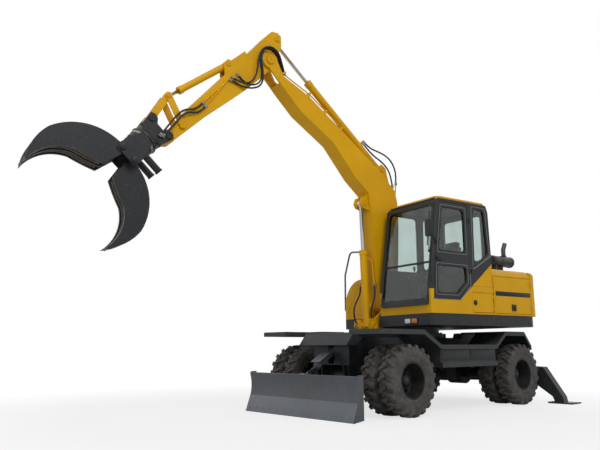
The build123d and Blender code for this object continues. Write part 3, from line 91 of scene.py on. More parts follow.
class Value:
    """A socket that is reckoned with like a number."""

    def __init__(self, home, socket):
        self.home = home
        self.socket = socket

    def reckon(self, operation, *numbers, clamp=False):
        """The result of one Math node."""
        settings = {"operation": operation, "use_clamp": clamp}
        return self.home.node("ShaderNodeMath", settings, dict(enumerate(numbers)))

    def __add__(self, other):
        return self.reckon("ADD", self, other)

    def __sub__(self, other):
        return self.reckon("SUBTRACT", self, other)

    def __rsub__(self, other):
        return self.reckon("SUBTRACT", other, self)

    def __mul__(self, other):
        return self.reckon("MULTIPLY", self, other)

    def __pow__(self, other):
        return self.reckon("POWER", self, other)

    def either(self, other):
        """The larger of two values."""
        return self.reckon("MAXIMUM", self, other)

    def kept(self):
        """The value held between 0 and 1."""
        return self.reckon("ADD", self, 0.0, clamp=True)

    __radd__ = __add__
    __rmul__ = __mul__


class Tree:
    """An emptied node tree and the one method that makes its nodes."""

    def __init__(self, tree):
        self.tree = tree
        self.tree.nodes.clear()

    def node(self, kind, settings=None, sockets=None, output=0):
        """Make a node with its settings and its sockets' values or links, and give one output."""
        made = self.tree.nodes.new(kind)
        for name, setting in (settings or {}).items():
            setattr(made, name, setting)
        for name, content in (sockets or {}).items():
            if isinstance(content, Value):
                self.tree.links.new(content.socket, made.inputs[name])
            else:
                made.inputs[name].default_value = content
        return Value(self, made.outputs[output]) if made.outputs else None


class Finish(Tree):
    """A material, the name of a slot, which nothing here reads, and the nodes that materials share.
    """

    def __init__(self, name, slot):
        self.name = name
        self.slot = slot
        self.material = bpy.data.materials.new(name)
        self.material.use_nodes = True
        super().__init__(self.material.node_tree)
        self.place = self.node("ShaderNodeTexCoord", output="Object")

    def noise(self, scale, detail=3.0, rough=0.5, stretch=None):
        """Noise over the surface, its scale in features a metre."""
        place = self.place
        if stretch:
            place = self.node("ShaderNodeMapping", None, {"Vector": place, "Scale": stretch})
        sockets = {"Vector": place, "Scale": scale, "Detail": detail, "Roughness": rough}
        return self.node("ShaderNodeTexNoise", None, sockets)

    def height(self):
        """How high a point lies above the ground, in metres."""
        return self.node("ShaderNodeSeparateXYZ", None, {0: self.place}, "Z")

    def level_faces(self):
        """One where a face looks up, none where it looks sideways or down."""
        turned = self.node("ShaderNodeTexCoord", output="Normal")
        return self.node("ShaderNodeSeparateXYZ", None, {0: turned}, "Z").kept()

    def mix(self, share, first, second):
        """A colour between two colours."""
        sockets = {0: share, 6: colour_of(first), 7: colour_of(second)}
        return self.node("ShaderNodeMix", {"data_type": "RGBA"}, sockets, 2)

    def bumps(self, height, depth, strength):
        """A bump of a given depth in metres."""
        sockets = {"Height": height, "Distance": depth, "Strength": strength}
        return self.node("ShaderNodeBump", None, sockets)

    def waves(self, direction, scale, distortion=0.0, place=None):
        """Even bands along one direction, their scale in bands a metre."""
        sockets = {"Vector": place or self.place, "Scale": scale, "Distortion": distortion}
        return self.node("ShaderNodeTexWave", {"bands_direction": direction}, sockets)

    def surface(self, **sockets):
        """The Principled shader, with underscores for the spaces in its sockets' names."""
        named = {name.replace("_", " "): content for name, content in sockets.items()}
        if "Base Color" in named:
            named["Base Color"] = colour_of(named["Base Color"])
        shader = self.node("ShaderNodeBsdfPrincipled", None, named)
        self.node("ShaderNodeOutputMaterial", None, {"Surface": shader})
        return self


def colour_of(content):
    """A colour as the four numbers that a socket takes, or the link that it already is."""
    return content if isinstance(content, Value) else (*content, 1.0)


# ---------------------------------------------------------------- finishes


def paint(name, slot, colour, dust, rough, gloss, metal=0.0):
    """Sprayed paint: faint orange peel, uneven fading, and dust low down and on level faces."""
    made = Finish(name, slot)
    tint = tuple(channel * 0.86 for channel in colour)
    faded = made.mix((made.noise(1.7, 4.0) * 2.4 - 0.7).kept(), tint, colour)
    low = ((1.5 - made.height()) * 0.7).kept() * 0.8 + 0.12
    grain = (made.noise(9.0, 8.0, 0.62) * 3.0 - 1.25).kept()
    dirt = (grain * (low + made.level_faces() * 0.5) * dust).kept()
    tone = made.mix(dirt, faded, (0.21, 0.17, 0.12))
    streaks = made.noise(5.0, 6.0, 0.6, (6.0, 6.0, 0.6))
    return made.surface(
        Base_Color=tone,
        Roughness=(dirt * 0.5 + streaks * 0.05 + (rough - 0.02)).kept(),
        Metallic=metal,
        Specular_IOR_Level=gloss,
        Normal=made.bumps(made.noise(60.0, 3.0), 0.0006, 0.04),
    )


def worn_steel(name, slot, colour, bright, amount):
    """Dark painted steel that is rubbed to bright metal on its edges' faces and in scratches."""
    made = Finish(name, slot)
    turned = made.node("ShaderNodeTexCoord", output="Normal")
    sideways = tuple(upper_home.to_3x3().normalized() @ Vector((0, 1, 0)))
    settings = {"operation": "DOT_PRODUCT"}
    across = made.node("ShaderNodeVectorMath", settings, {0: turned, 1: sideways}, "Value")
    rims = (1.0 - across * across).kept() ** 2.0
    scratch = (made.noise(26.0, 9.0, 0.7, (1.0, 5.0, 2.2)) * 5.0 - 2.7).kept()
    patches = (made.noise(4.2, 6.0, 0.6) * 3.2 - 1.3).kept()
    rubbed = (rims * patches * amount + scratch * 0.35).kept()
    coat = made.mix(patches * 0.5, colour, tuple(1.7 * c for c in colour))
    return made.surface(
        Base_Color=made.mix(rubbed, coat, bright),
        Roughness=(0.42 + patches * 0.06 + rubbed * 0.06).kept(),
        Metallic=(rubbed * 0.55).kept(),
        Specular_IOR_Level=0.28,
        Normal=made.bumps(made.noise(90.0, 4.0) + patches * 0.6, 0.0006, 0.15),
    )


def rod_chrome():
    """Hard chrome with a film of oil and fine marks along the rod."""
    made = Finish("rod_chrome", "chrome")
    film = made.noise(14.0, 5.0, 0.6, (1.0, 1.0, 0.3))
    return made.surface(
        Base_Color=made.mix(film * 0.7, (0.80, 0.81, 0.83), (0.58, 0.57, 0.55)),
        Roughness=(film * 0.14 + 0.06).kept(),
        Metallic=1.0,
        Normal=made.bumps(made.noise(700.0, 2.0), 0.0002, 0.15),
    )


def tyre_rubber():
    """Tyre rubber, greyed by dust on its sides and in its grooves."""
    made = Finish("tyre_rubber", "tyre")
    dusty = (made.noise(11.0, 8.0, 0.66) * 2.6 - 0.85).kept()
    specks = (made.noise(85.0, 4.0, 0.6) * 2.0 - 0.6).kept()
    dust = (dusty * 0.55 + specks * 0.2).kept()
    return made.surface(
        Base_Color=made.mix(dust, (0.030, 0.029, 0.028), (0.17, 0.16, 0.148)),
        Roughness=(dusty * 0.2 + 0.62).kept(),
        Specular_IOR_Level=0.25,
        Normal=made.bumps(made.noise(240.0, 5.0, 0.6) + dusty, 0.0012, 0.5),
    )


def plastic(name, slot, colour, rough, grain):
    """Moulded plastic or rubber with a fine grain."""
    made = Finish(name, slot)
    worn = made.noise(8.0, 5.0, 0.6)
    pale = tuple(1.7 * c + 0.01 for c in colour)
    return made.surface(
        Base_Color=made.mix((worn * 2.0 - 0.6).kept() * 0.45, colour, pale),
        Roughness=(worn * 0.2 + rough - 0.1).kept(),
        Specular_IOR_Level=0.3,
        Normal=made.bumps(made.noise(900.0, 3.0), 0.0004, grain),
    )


def tinted_glass():
    """Tinted safety glass with a little dust toward its edges."""
    made = Finish("tinted_glass", "glass")
    film = (made.noise(3.0, 6.0, 0.6) * 2.4 - 1.1).kept()
    return made.surface(
        Base_Color=made.mix(film * 0.4, (0.66, 0.74, 0.72), (0.50, 0.54, 0.52)),
        Roughness=(film * 0.04).kept(),
        Transmission_Weight=1.0,
        IOR=1.45,
    )


def lamp_lens(name, colour):
    """A ribbed lamp lens."""
    made = Finish(name, "lamp_lens")
    ribs = made.waves("Z", 40.0)
    return made.surface(
        Base_Color=made.mix(ribs * 0.35, colour, tuple(0.7 * c for c in colour)),
        Roughness=(ribs * 0.08 + 0.08).kept(),
        Coat_Weight=0.6,
        Normal=made.bumps(ribs, 0.001, 0.5),
    )


def seat_cloth():
    """Woven seat cloth: a fine weave with a soft sheen."""
    made = Finish("seat_cloth", "seat_fabric")
    weave = 0.5
    for direction in "XZ":
        weave = made.waves(direction, 260.0, 0.6) * weave
    shade = made.noise(14.0, 4.0)
    share = (weave + shade * 0.5).kept()
    return made.surface(
        Base_Color=made.mix(share, (0.018, 0.019, 0.022), (0.075, 0.077, 0.083)),
        Roughness=(shade * 0.1 + 0.82).kept(),
        Sheen_Weight=0.4,
        Normal=made.bumps(weave, 0.0006, 0.6),
    )


def cast_iron():
    """Rough cast iron with an oily film."""
    made = Finish("cast_iron", "engine_iron")
    film = made.noise(7.0, 6.0, 0.6)
    return made.surface(
        Base_Color=made.mix(film, (0.025, 0.025, 0.027), (0.10, 0.095, 0.085)),
        Roughness=(film * 0.35 + 0.4).kept(),
        Metallic=0.5,
        Normal=made.bumps(made.noise(120.0, 6.0, 0.65), 0.002, 0.6),
    )


def tread_sheet():
    """Dark sheet steel with raised tread marks on its level faces."""
    made = Finish("tread_sheet", "slate")
    marks = 1.0
    for turn in (0.785, -0.785):
        sockets = {"Vector": made.place, "Rotation": (0.0, 0.0, turn)}
        place = made.node("ShaderNodeMapping", None, sockets)
        marks = made.waves("X", 11.0, place=place) * marks
    marks = (marks * 3.0 - 1.1).kept() * made.level_faces()
    dirt = (made.noise(8.0, 7.0, 0.62) * 2.8 - 1.0).kept()
    tone = made.mix(dirt * 0.22, (0.026, 0.030, 0.034), (0.15, 0.13, 0.105))
    return made.surface(
        Base_Color=made.mix(marks * 0.4, tone, (0.11, 0.115, 0.12)),
        Roughness=(dirt * 0.25 + 0.38).kept(),
        Metallic=(marks * 0.5).kept(),
        Specular_IOR_Level=0.25,
        Normal=made.bumps(marks, 0.002, 0.7),
    )


def mirror_glass():
    """A silvered mirror with a thin film of dust."""
    made = Finish("mirror_glass", "chrome")
    film = made.noise(9.0, 5.0, 0.6)
    return made.surface(
        Base_Color=made.mix(film * 0.5, (0.82, 0.84, 0.85), (0.62, 0.63, 0.62)),
        Roughness=(film * 0.1 + 0.02).kept(),
        Metallic=1.0,
    )


# ---------------------------------------------------------------- shapes


def aimed(spot, way, axis="Z"):
    """The matrix that sets a frame at a spot with one axis along a way."""
    turn = Vector(way).to_track_quat(axis, "Y").to_matrix().to_4x4()
    return Matrix.Translation(spot) @ turn


def round_spots(count):
    """Evenly spaced (cosine, sine) pairs of a full turn."""
    return [(cos(2 * pi * k / count), sin(2 * pi * k / count)) for k in range(count)]


def bridge(part, ring, following):
    """Faces between two rings of equally many points."""
    for first in range(len(ring)):
        after = (first + 1) % len(ring)
        part.faces.new([ring[first], ring[after], following[after], following[first]])


def cap(part, rings):
    """Faces over the first and the last of some rings."""
    part.faces.new(rings[0])
    part.faces.new(rings[-1])


# Turns between faces past which a shape's edges are rounded, or are left sharp
rounded_turn = radians(40)
crease_turn = radians(32)


class Shape:
    """A mesh in the making, in millimetres."""

    def __init__(self):
        self.bm = bmesh.new()

    def add_mesh(self, mesh, place):
        """Add a finished mesh and throw it away."""
        mesh.transform(place)
        self.bm.from_mesh(mesh)
        bpy.data.meshes.remove(mesh)
        return self

    def close(self, part, place=Matrix(), rounding=0.0, steps=1):
        """Round a new part's sharp edges, set it in its place and add it."""
        bmesh.ops.recalc_face_normals(part, faces=part.faces)
        if rounding:
            sharp = [edge for edge in part.edges if edge.calc_face_angle(0.0) > rounded_turn]
            bmesh.ops.bevel(
                part, geom=sharp, offset=rounding, segments=steps, profile=0.5,
                affect="EDGES", clamp_overlap=True,
            )
        mesh = bpy.data.meshes.new("part")
        part.to_mesh(mesh)
        part.free()
        return self.add_mesh(mesh, place)

    def box(self, x, y, z, rounding=0.0, steps=2, place=Matrix()):
        """A box between three pairs of coordinates."""
        part = bmesh.new()
        bmesh.ops.create_cube(part, size=1.0)
        size = Matrix.Diagonal([abs(high - low) for low, high in (x, y, z)]).to_4x4()
        middle = Matrix.Translation([(low + high) / 2 for low, high in (x, y, z)])
        part.transform(middle @ size)
        return self.close(part, place, rounding, steps)

    def plate(self, outline, low, high, axis, rounding=0.0, steps=2, place=Matrix()):
        """A plate between two heights on an axis, from an outline in the other two."""
        part = bmesh.new()
        rows = [
            [part.verts.new(lift(u, v, level, axis)) for u, v in outline] for level in (low, high)
        ]
        bridge(part, *rows)
        cap(part, rows)
        return self.close(part, place, rounding, steps)

    def border(self, outer, inner, low, high, axis, place=Matrix()):
        """A flat frame between two outlines with equally many points."""
        part = bmesh.new()
        rings = [
            [part.verts.new(lift(u, v, level, axis)) for u, v in outline]
            for outline, level in ((outer, low), (outer, high), (inner, high), (inner, low))
        ]
        for ring, following in zip(rings, rings[1:] + rings[:1]):
            bridge(part, ring, following)
        return self.close(part, place)

    def turned(self, start, end, profile, sides, hollow=False):
        """A turned part: (distance along, radius) pairs about the line from start to end."""
        part = bmesh.new()
        rings = [
            [part.verts.new((radius * x, radius * y, along)) for x, y in round_spots(sides)]
            for along, radius in profile
        ]
        for ring, following in zip(rings, rings[1:] + rings[:1] if hollow else rings[1:]):
            bridge(part, ring, following)
        if not hollow:
            cap(part, rings)
        return self.close(part, aimed(start, Vector(end) - Vector(start)))

    def hoop(self, start, end, inner, outer, sides):
        """A round band between two radii."""
        wide = (Vector(end) - Vector(start)).length
        profile = [(0, inner), (0, outer), (wide, outer), (wide, inner)]
        return self.turned(start, end, profile, sides, hollow=True)

    def rod(self, start, end, radius, sides=24):
        """A round bar with its rims broken."""
        long = (Vector(end) - Vector(start)).length
        edge = min(radius * 0.12, long / 2.2)
        profile = [(0, radius - edge), (edge, radius), (long - edge, radius), (long, radius - edge)]
        return self.turned(start, end, profile, sides)

    def tube(self, points, radius, sides, closed=False):
        """A round tube through points, its section turned as little as possible on the way."""
        line = [Vector(point) for point in points]
        count = len(line)
        part = bmesh.new()
        rings = []
        side = None
        for spot in range(count):
            before = line[spot - 1] if spot or closed else line[spot]
            after = line[(spot + 1) % count] if spot < count - 1 or closed else line[spot]
            way = (after - before).normalized()
            side = way.orthogonal() if side is None else side - way * side.dot(way)
            side.normalize()
            up = way.cross(side)
            rings.append([
                part.verts.new(line[spot] + radius * (x * side + y * up))
                for x, y in round_spots(sides)
            ])
        pairs = list(zip(rings, rings[1:]))
        if closed:
            twist = min(range(sides), key=lambda k: (rings[0][k].co - rings[-1][0].co).length)
            pairs.append((rings[-1], rings[0][twist:] + rings[0][:twist]))
        else:
            cap(part, rings)
        for ring, following in pairs:
            bridge(part, ring, following)
        return self.close(part)

    def repeated(self, item, tree, count, step, place):
        """Add copies of an item, made by one of the repeat trees."""
        return self.add_mesh(repeat(item, tree, count, step), place)

    def mesh(self):
        """The shape as a plain mesh of its own."""
        mesh = bpy.data.meshes.new("shape")
        self.bm.to_mesh(mesh)
        self.bm.free()
        return mesh

    def piece(self, name, body, finish, home=upper_home):
        """Set the shape in the machine as a piece that rides on a body."""
        mesh = self.mesh()
        mesh.transform(home)
        mesh.shade_smooth()
        mesh.set_sharp_from_angle(angle=crease_turn)
        return settle(name, mesh, body, finish)


def lift(u, v, level, axis):
    """A point from two flat coordinates and its level on an axis."""
    return {"X": (level, u, v), "Y": (u, level, v), "Z": (u, v, level)}[axis]


def linked(name, data):
    """A new object of some data, in the scene."""
    made = bpy.data.objects.new(name, data)
    bpy.context.scene.collection.objects.link(made)
    return made


def settle(name, mesh, body, finish):
    """Set a mesh in the scene, give it its finish and let it ride on a body."""
    mesh.name = name
    mesh.materials.clear()
    mesh.materials.append(finishes[finish].material)
    made = linked(name, mesh)
    if body:
        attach(made, body)
    return made


def rounded(outline, radius, steps=6):
    """An outline with its corners rounded."""
    points = [Vector(point) for point in outline]
    made = []
    for before, corner, after in zip(points[-1:] + points[:-1], points, points[1:] + points[:1]):
        first = (before - corner).normalized()
        second = (after - corner).normalized()
        half = first.angle(second) / 2
        room = 0.45 * min((before - corner).length, (after - corner).length)
        reach = min(radius / max(0.05, abs(tan(half))), room)
        start, end = corner + first * reach, corner + second * reach
        for k in range(steps + 1):
            t = k / steps
            made.append(tuple(start * (1 - t) ** 2 + corner * (2 * t * (1 - t)) + end * t ** 2))
    return made


def square(u, v):
    """The corners of a rectangle between two pairs of coordinates."""
    return [(u[0], v[0]), (u[1], v[0]), (u[1], v[1]), (u[0], v[1])]


def oblong(u, v, corner, steps=6):
    """A rectangle between two pairs of coordinates, with its corners rounded."""
    return rounded(square(u, v), corner, steps)


def narrowed(outline, amount):
    """An outline moved inward by an amount."""
    points = [Vector(point) for point in outline]
    pairs = list(zip(points, points[1:] + points[:1]))
    hand = 1 if sum(first.cross(second) for first, second in pairs) > 0 else -1
    sides = []
    for first, second in pairs:
        way = (second - first).normalized()
        sides.append((first + Vector((-way.y, way.x)) * hand * amount, way))
    made = []
    for (spot, way), (other, turn) in zip(sides[-1:] + sides[:-1], sides):
        share = (other - spot).cross(turn) / way.cross(turn)
        made.append(tuple(spot + way * share))
    return made


# ---------------------------------------------------------------- trees that repeat


def repeat_tree(name, turning):
    """A tree that copies its mesh by equal steps along a line, or by equal turns about an axis."""
    group = bpy.data.node_groups.new(name, "GeometryNodeTree")
    inputs = {"Item": "Geometry", "Count": "Int", "Step": "Vector", "Finish": "Material"}
    for socket, kind in inputs.items():
        group.interface.new_socket(socket, in_out="INPUT", socket_type=f"NodeSocket{kind}")
    group.interface.new_socket("Row", in_out="OUTPUT", socket_type="NodeSocketGeometry")
    tree = Tree(group)
    item, count, step, finish = [tree.node("NodeGroupInput", output=socket) for socket in inputs]
    offset = (0, 0, 0) if turning else step
    line = tree.node("GeometryNodeMeshLine", None, {"Count": count, "Offset": offset})
    copies = tree.node("GeometryNodeInstanceOnPoints", None, {"Points": line, "Instance": item})
    if turning:
        number = tree.node("GeometryNodeInputIndex")
        scaled = {0: step, "Scale": number}
        angle = tree.node("ShaderNodeVectorMath", {"operation": "SCALE"}, scaled)
        sockets = {"Instances": copies, "Rotation": angle, "Local Space": False}
        copies = tree.node("GeometryNodeRotateInstances", None, sockets)
    solid = tree.node("GeometryNodeRealizeInstances", None, {"Geometry": copies})
    coat = tree.node("GeometryNodeSetMaterial", None, {"Geometry": solid, "Material": finish})
    tree.node("NodeGroupOutput", None, {"Row": coat})
    return group


def repeat(item, tree, count, step):
    """The plain mesh of an item's copies by one of the repeat trees."""
    mesh = item.mesh()
    made = linked("growing", mesh)
    modifier = made.modifiers.new("Growth", "NODES")
    modifier.node_group = trees[tree]
    values = {"Count": count, "Step": step, "Finish": finishes["bare_steel"].material}
    for socket in trees[tree].interface.items_tree:
        if socket.name in values:
            modifier[socket.identifier] = values[socket.name]
    result = plain_mesh(made)
    bpy.data.meshes.remove(mesh)
    return result


def plain_mesh(made):
    """The plain mesh that an object comes to. The object goes and its data stays."""
    ready = made.evaluated_get(bpy.context.evaluated_depsgraph_get())
    mesh = bpy.data.meshes.new_from_object(ready)
    bpy.data.objects.remove(made)
    return mesh


def bolt(radius, height):
    """A bolt head with its washer, standing on the ground plane of its own frame."""
    made = Shape()
    foot, top = (0, 0, 0), (0, 0, 1)
    made.turned(foot, top, [(0, radius * 1.3), (height * 0.25, radius * 1.3)], 16)
    head = [(height * 0.25, radius), (height * 0.85, radius), (height, radius * 0.8)]
    return made.turned(foot, top, head, 6)


def bolt_ring(shape, centre, way, ring, radius, height, count):
    """Bolts in a ring about a line, their heads pointing along it."""
    item = bolt(radius, height)
    bmesh.ops.translate(item.bm, verts=item.bm.verts, vec=(ring, 0, 0))
    return shape.repeated(item, "ring", count, (0, 0, 2 * pi / count), aimed(centre, way))


def bolt_row(shape, start, way, step, radius, height, count):
    """Bolts in a row, their heads pointing along way."""
    place = aimed(start, way)
    local = place.to_3x3().inverted() @ Vector(step)
    return shape.repeated(bolt(radius, height), "row", count, local, place)


# ---------------------------------------------------------------- hoses

# Each hose: its name, the bodies at its two ends, its length in metres, and its route
hose_rows = [
    ("hose_head_1", "boom", "arm", 1.32, [
        (2104, -100, 4587), (2159, -70, 4690), (2214, -32, 4794), (2318, -26, 4858),
        (2442, -14, 4830), (2508, -14, 4715), (2492, -14, 4596), (2466, -14, 4485),
        (2472, -14, 4372), (2540, -20, 4285), (2650, -32, 4262), (2745, -39, 4296),
        (2800, -39, 4350),
    ]),
    ("hose_head_2", "boom", "arm", 1.42, [
        (2104, -66, 4587), (2159, -43, 4697), (2214, -5, 4800), (2322, 8, 4862),
        (2436, 20, 4832), (2496, 22, 4722), (2490, 22, 4600), (2470, 22, 4480),
        (2466, 20, 4360), (2510, 14, 4258), (2605, 4, 4210), (2712, -18, 4202),
        (2810, -36, 4226), (2905, -39, 4258),
    ]),
    ("hose_head_3", "boom", "arm", 1.38, [
        (2104, -34, 4587), (2159, -9, 4700), (2222, 22, 4808), (2335, 38, 4862),
        (2455, 50, 4826), (2535, 54, 4730), (2562, 52, 4615), (2570, 48, 4495),
        (2583, 38, 4385), (2648, 16, 4275), (2765, -14, 4246), (2868, -39, 4300),
    ]),
    ("hose_back_1", "arm_tube", "boom", 0.85, [
        (604, -128, 3852), (516, -124, 3790), (410, -116, 3764), (296, -106, 3738),
        (190, -94, 3692), (112, -80, 3612), (74, -66, 3510), (68, -52, 3405), (82, -44, 3300),
    ]),
    ("hose_back_2", "arm_tube", "boom", 0.78, [
        (650, -82, 3796), (572, -74, 3716), (480, -64, 3648), (378, -52, 3596),
        (284, -46, 3532), (214, -43, 3446), (178, -43, 3345), (160, -43, 3250),
    ]),
    ("hose_foot_1", "boom_tube", "upper", 0.50, [
        (560, -44, 1690), (556, -40, 1590), (580, -36, 1490), (622, -36, 1398),
        (640, -42, 1305), (626, -50, 1225),
    ]),
    ("hose_foot_2", "boom_tube", "upper", 0.58, [
        (660, -238, 1690), (662, -244, 1600), (706, -248, 1510), (762, -250, 1425),
        (786, -250, 1330), (776, -249, 1240), (742, -248, 1162),
    ]),
    ("hose_tip_1", "arm", "hanger", 0.78, [
        (3320, -39, 3847), (3372, -34, 3788), (3452, -26, 3738), (3552, -20, 3716),
        (3634, -18, 3642), (3706, -18, 3543), (3771, -18, 3446), (3836, -18, 3347),
    ]),
    ("hose_tip_2", "arm", "hanger", 0.75, [
        (3282, -39, 3808), (3328, -34, 3750), (3406, -26, 3704), (3512, -20, 3688),
        (3598, -18, 3620), (3662, -18, 3524), (3727, -18, 3432), (3801, -18, 3342),
    ]),
]


def spline_line(route):
    """Points along the smooth line of a hose's route."""
    curve = bpy.data.curves.new("route", "CURVE")
    curve.dimensions = "3D"
    spline = curve.splines.new("NURBS")
    spline.points.add(len(route) - 1)
    for point, spot in zip(spline.points, route):
        point.co = (*spot, 1.0)
    spline.order_u = 3
    spline.use_endpoint_u = True
    spline.resolution_u = 10
    mesh = plain_mesh(linked("route", curve))
    line = [vertex.co.copy() for vertex in mesh.vertices]
    bpy.data.curves.remove(curve)
    bpy.data.meshes.remove(mesh)
    return line


# Outlines of the crimped sleeve at a hose's end and of the nut behind it
sleeve_outline = [
    (0, 17), (2, 19.5), (9, 19.5), (10, 18.8), (18, 18.8), (19, 19.5), (26, 19.5), (28, 18),
]
nut_outline = [(0, 20), (1.5, 22), (12.5, 22), (14, 20)]


def lay_hoses(radius):
    """Make every hose with the crimped ends of its fittings."""
    sleeves = {}
    for name, first_body, last_body, length, route in hose_rows:
        line = spline_line(route)
        mesh = Shape().tube(line, radius, 14).mesh()
        mesh.transform(upper_home)
        mesh.shade_smooth()
        made = settle(name, mesh, None, "hose_rubber")
        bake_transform(made)
        ends = [Vector(spot) for spot in (route[0], route[1], route[-1], route[-2])]
        for body, end, inner in ((first_body, *ends[:2]), (last_body, *ends[2:])):
            way = (end - inner).normalized()
            shape = sleeves.setdefault(body, Shape())
            spots = [end + way * reach for reach in (-1, 27, 33, 47)]
            shape.turned(*spots[:2], sleeve_outline, 20)
            shape.turned(*spots[2:], nut_outline, 6)
    for body, shape in sleeves.items():
        shape.piece(f"hose_ends_{body}", body, "zinc_steel")
    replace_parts(bpy.data.objects["hose_head_1"], "hoses_boom")
    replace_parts(bpy.data.objects["hose_foot_1"], "hoses_foot")
    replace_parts(bpy.data.objects["hose_tip_1"], "hoses_tip")


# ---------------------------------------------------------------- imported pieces, edges rounded

# Finish, edge rounding in millimetres, and the pieces that get them
skins = [
    ("body_paint", 2.5, ["boom", "arm"]),
    ("body_paint", 4.0, ["hood", "hood_door", "tank", "cab_base", "locker_door", "counterweight"]),
    ("body_paint", 2.0, ["boom_tube", "arm_tube", "tilt_tube", "rocker", "link"]),
    ("frame_paint", 4.0, ["cab_frame", "turret", "chassis", "leg_left", "leg_right"]),
    ("frame_paint", 3.0, ["cab_door", "axle_front", "axle_rear", "knuckle_left", "knuckle_right"]),
    ("frame_paint", 2.0, ["leg_tube_left", "leg_tube_right"]),
    ("rim_paint", 2.0, ["rim_front_left", "rim_front_right", "rim_rear_left", "rim_rear_right"]),
    ("tread_sheet", 3.0, ["fender_left", "fender_right"]),
    ("blade_paint", 4.0, ["blade"]),
    ("guard_paint", 2.0, ["blade_tube"]),
    ("grapple_paint", 3.0, ["hanger", "rotator", "jaw_upper", "jaw_lower"]),
    ("grapple_paint", 2.0, ["jaw_tubes"]),
    ("rod_chrome", 1.0, ["boom_rod", "arm_rod", "tilt_rod", "blade_rod", "jaw_rods"]),
    ("rod_chrome", 1.0, ["leg_rod_left", "leg_rod_right"]),
    ("exhaust_black", 3.0, ["exhaust"]),
    ("rail_paint", 0.5, ["handrail"]),
    ("cast_iron", 5.0, ["engine"]),
]

tower_foot = 1256.0
screen_foot = 1568.0


def on_tower(spot):
    """Whether a spot of the turret is on the tower that carries the boom."""
    return abs(spot.y - boom_y) < 178 and (spot.z > tower_foot or spot.x > 302)


def under_screen(spot):
    """Whether a spot of the cab's frame is on the panel under the windscreen."""
    return spot.z < screen_foot and spot.x > 502


# Pieces painted in two colours: the level of a cut, the other finish, and which faces get it
two_tone = {
    "turret": (tower_foot, "body_paint", on_tower),
    "cab_frame": (screen_foot, "body_paint", under_screen),
}


def body_with(node):
    """The body that carries a node."""
    bodies = frame["record"]["behaviour"]["bodies"]
    return next(body for body, names in bodies.items() if node in names)


# How near, in metres, points are joined or lie on a cut, and the turn within which faces are flat
join_reach = 0.00003
cut_reach = 0.00002
flat_turn = radians(0.6)

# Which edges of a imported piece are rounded, by length in metres and turn, and which stay sharp
long_edge = 0.04
broken_turn = radians(36)
skin_crease = radians(34)

# Pieces whose flats have openings that a joined flat face would close over
whole_triangles = ("cab_base", "cab_frame", "fender_left", "fender_right")


def merged(mesh, flats):
    """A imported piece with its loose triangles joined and, if wanted, its flats made whole."""
    whole = bmesh.new()
    whole.from_mesh(mesh)
    bmesh.ops.remove_doubles(whole, verts=whole.verts, dist=join_reach)
    if flats:
        bmesh.ops.dissolve_limit(
            whole, angle_limit=flat_turn, verts=whole.verts, edges=whole.edges
        )
    return whole


def skin(node, whole, name, finish, rounding):
    """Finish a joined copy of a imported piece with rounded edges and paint."""
    chosen = whole.edges.layers.float.new("bevel_weight_edge")
    for edge in whole.edges:
        if edge.calc_length() > long_edge and edge.calc_face_angle(0.0) > broken_turn:
            edge[chosen] = 1.0
    mesh = bpy.data.meshes.new(name)
    whole.to_mesh(mesh)
    whole.free()
    mesh.shade_smooth()
    mesh.set_sharp_from_angle(angle=skin_crease)
    made = settle(name, mesh, body_with(node), finish)
    edges = made.modifiers.new("Rounded edges", "BEVEL")
    edges.width = rounding * 0.001
    edges.segments = 2
    edges.limit_method = "WEIGHT"
    edges.use_clamp_overlap = False
    edges.harden_normals = finish == "rod_chrome"
    if not edges.harden_normals:
        even = made.modifiers.new("Flats first", "WEIGHTED_NORMAL")
        even.keep_sharp = True
    return made


def dress_skins():
    """Copy each rigid piece, join its loose faces, round its edges and paint it."""
    back = upper_home.inverted()
    for finish, rounding, names in skins:
        for node in names:
            whole = merged(nodes[node].data, node not in whole_triangles)
            if node in two_tone:
                level, other_finish, chosen = two_tone[node]
                bmesh.ops.bisect_plane(
                    whole, geom=whole.verts[:] + whole.edges[:] + whole.faces[:],
                    plane_co=(0, 0, level * 0.001), plane_no=(0, 0, 1), dist=cut_reach,
                )
                other = whole.copy()
                for part, wanted in ((whole, False), (other, True)):
                    unwanted = [
                        face for face in part.faces
                        if chosen(back @ face.calc_center_median()) != wanted
                    ]
                    bmesh.ops.delete(part, geom=unwanted, context="FACES")
                skin(node, other, f"{node}_lower", other_finish, 0.5)
            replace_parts(skin(node, whole, f"{node}_skin", finish, rounding), node)
    for node in ("cab_glass", "door_glass"):
        nodes[node].data.materials.clear()
        nodes[node].data.materials.append(finishes["tinted_glass"].material)


# ---------------------------------------------------------------- wheels


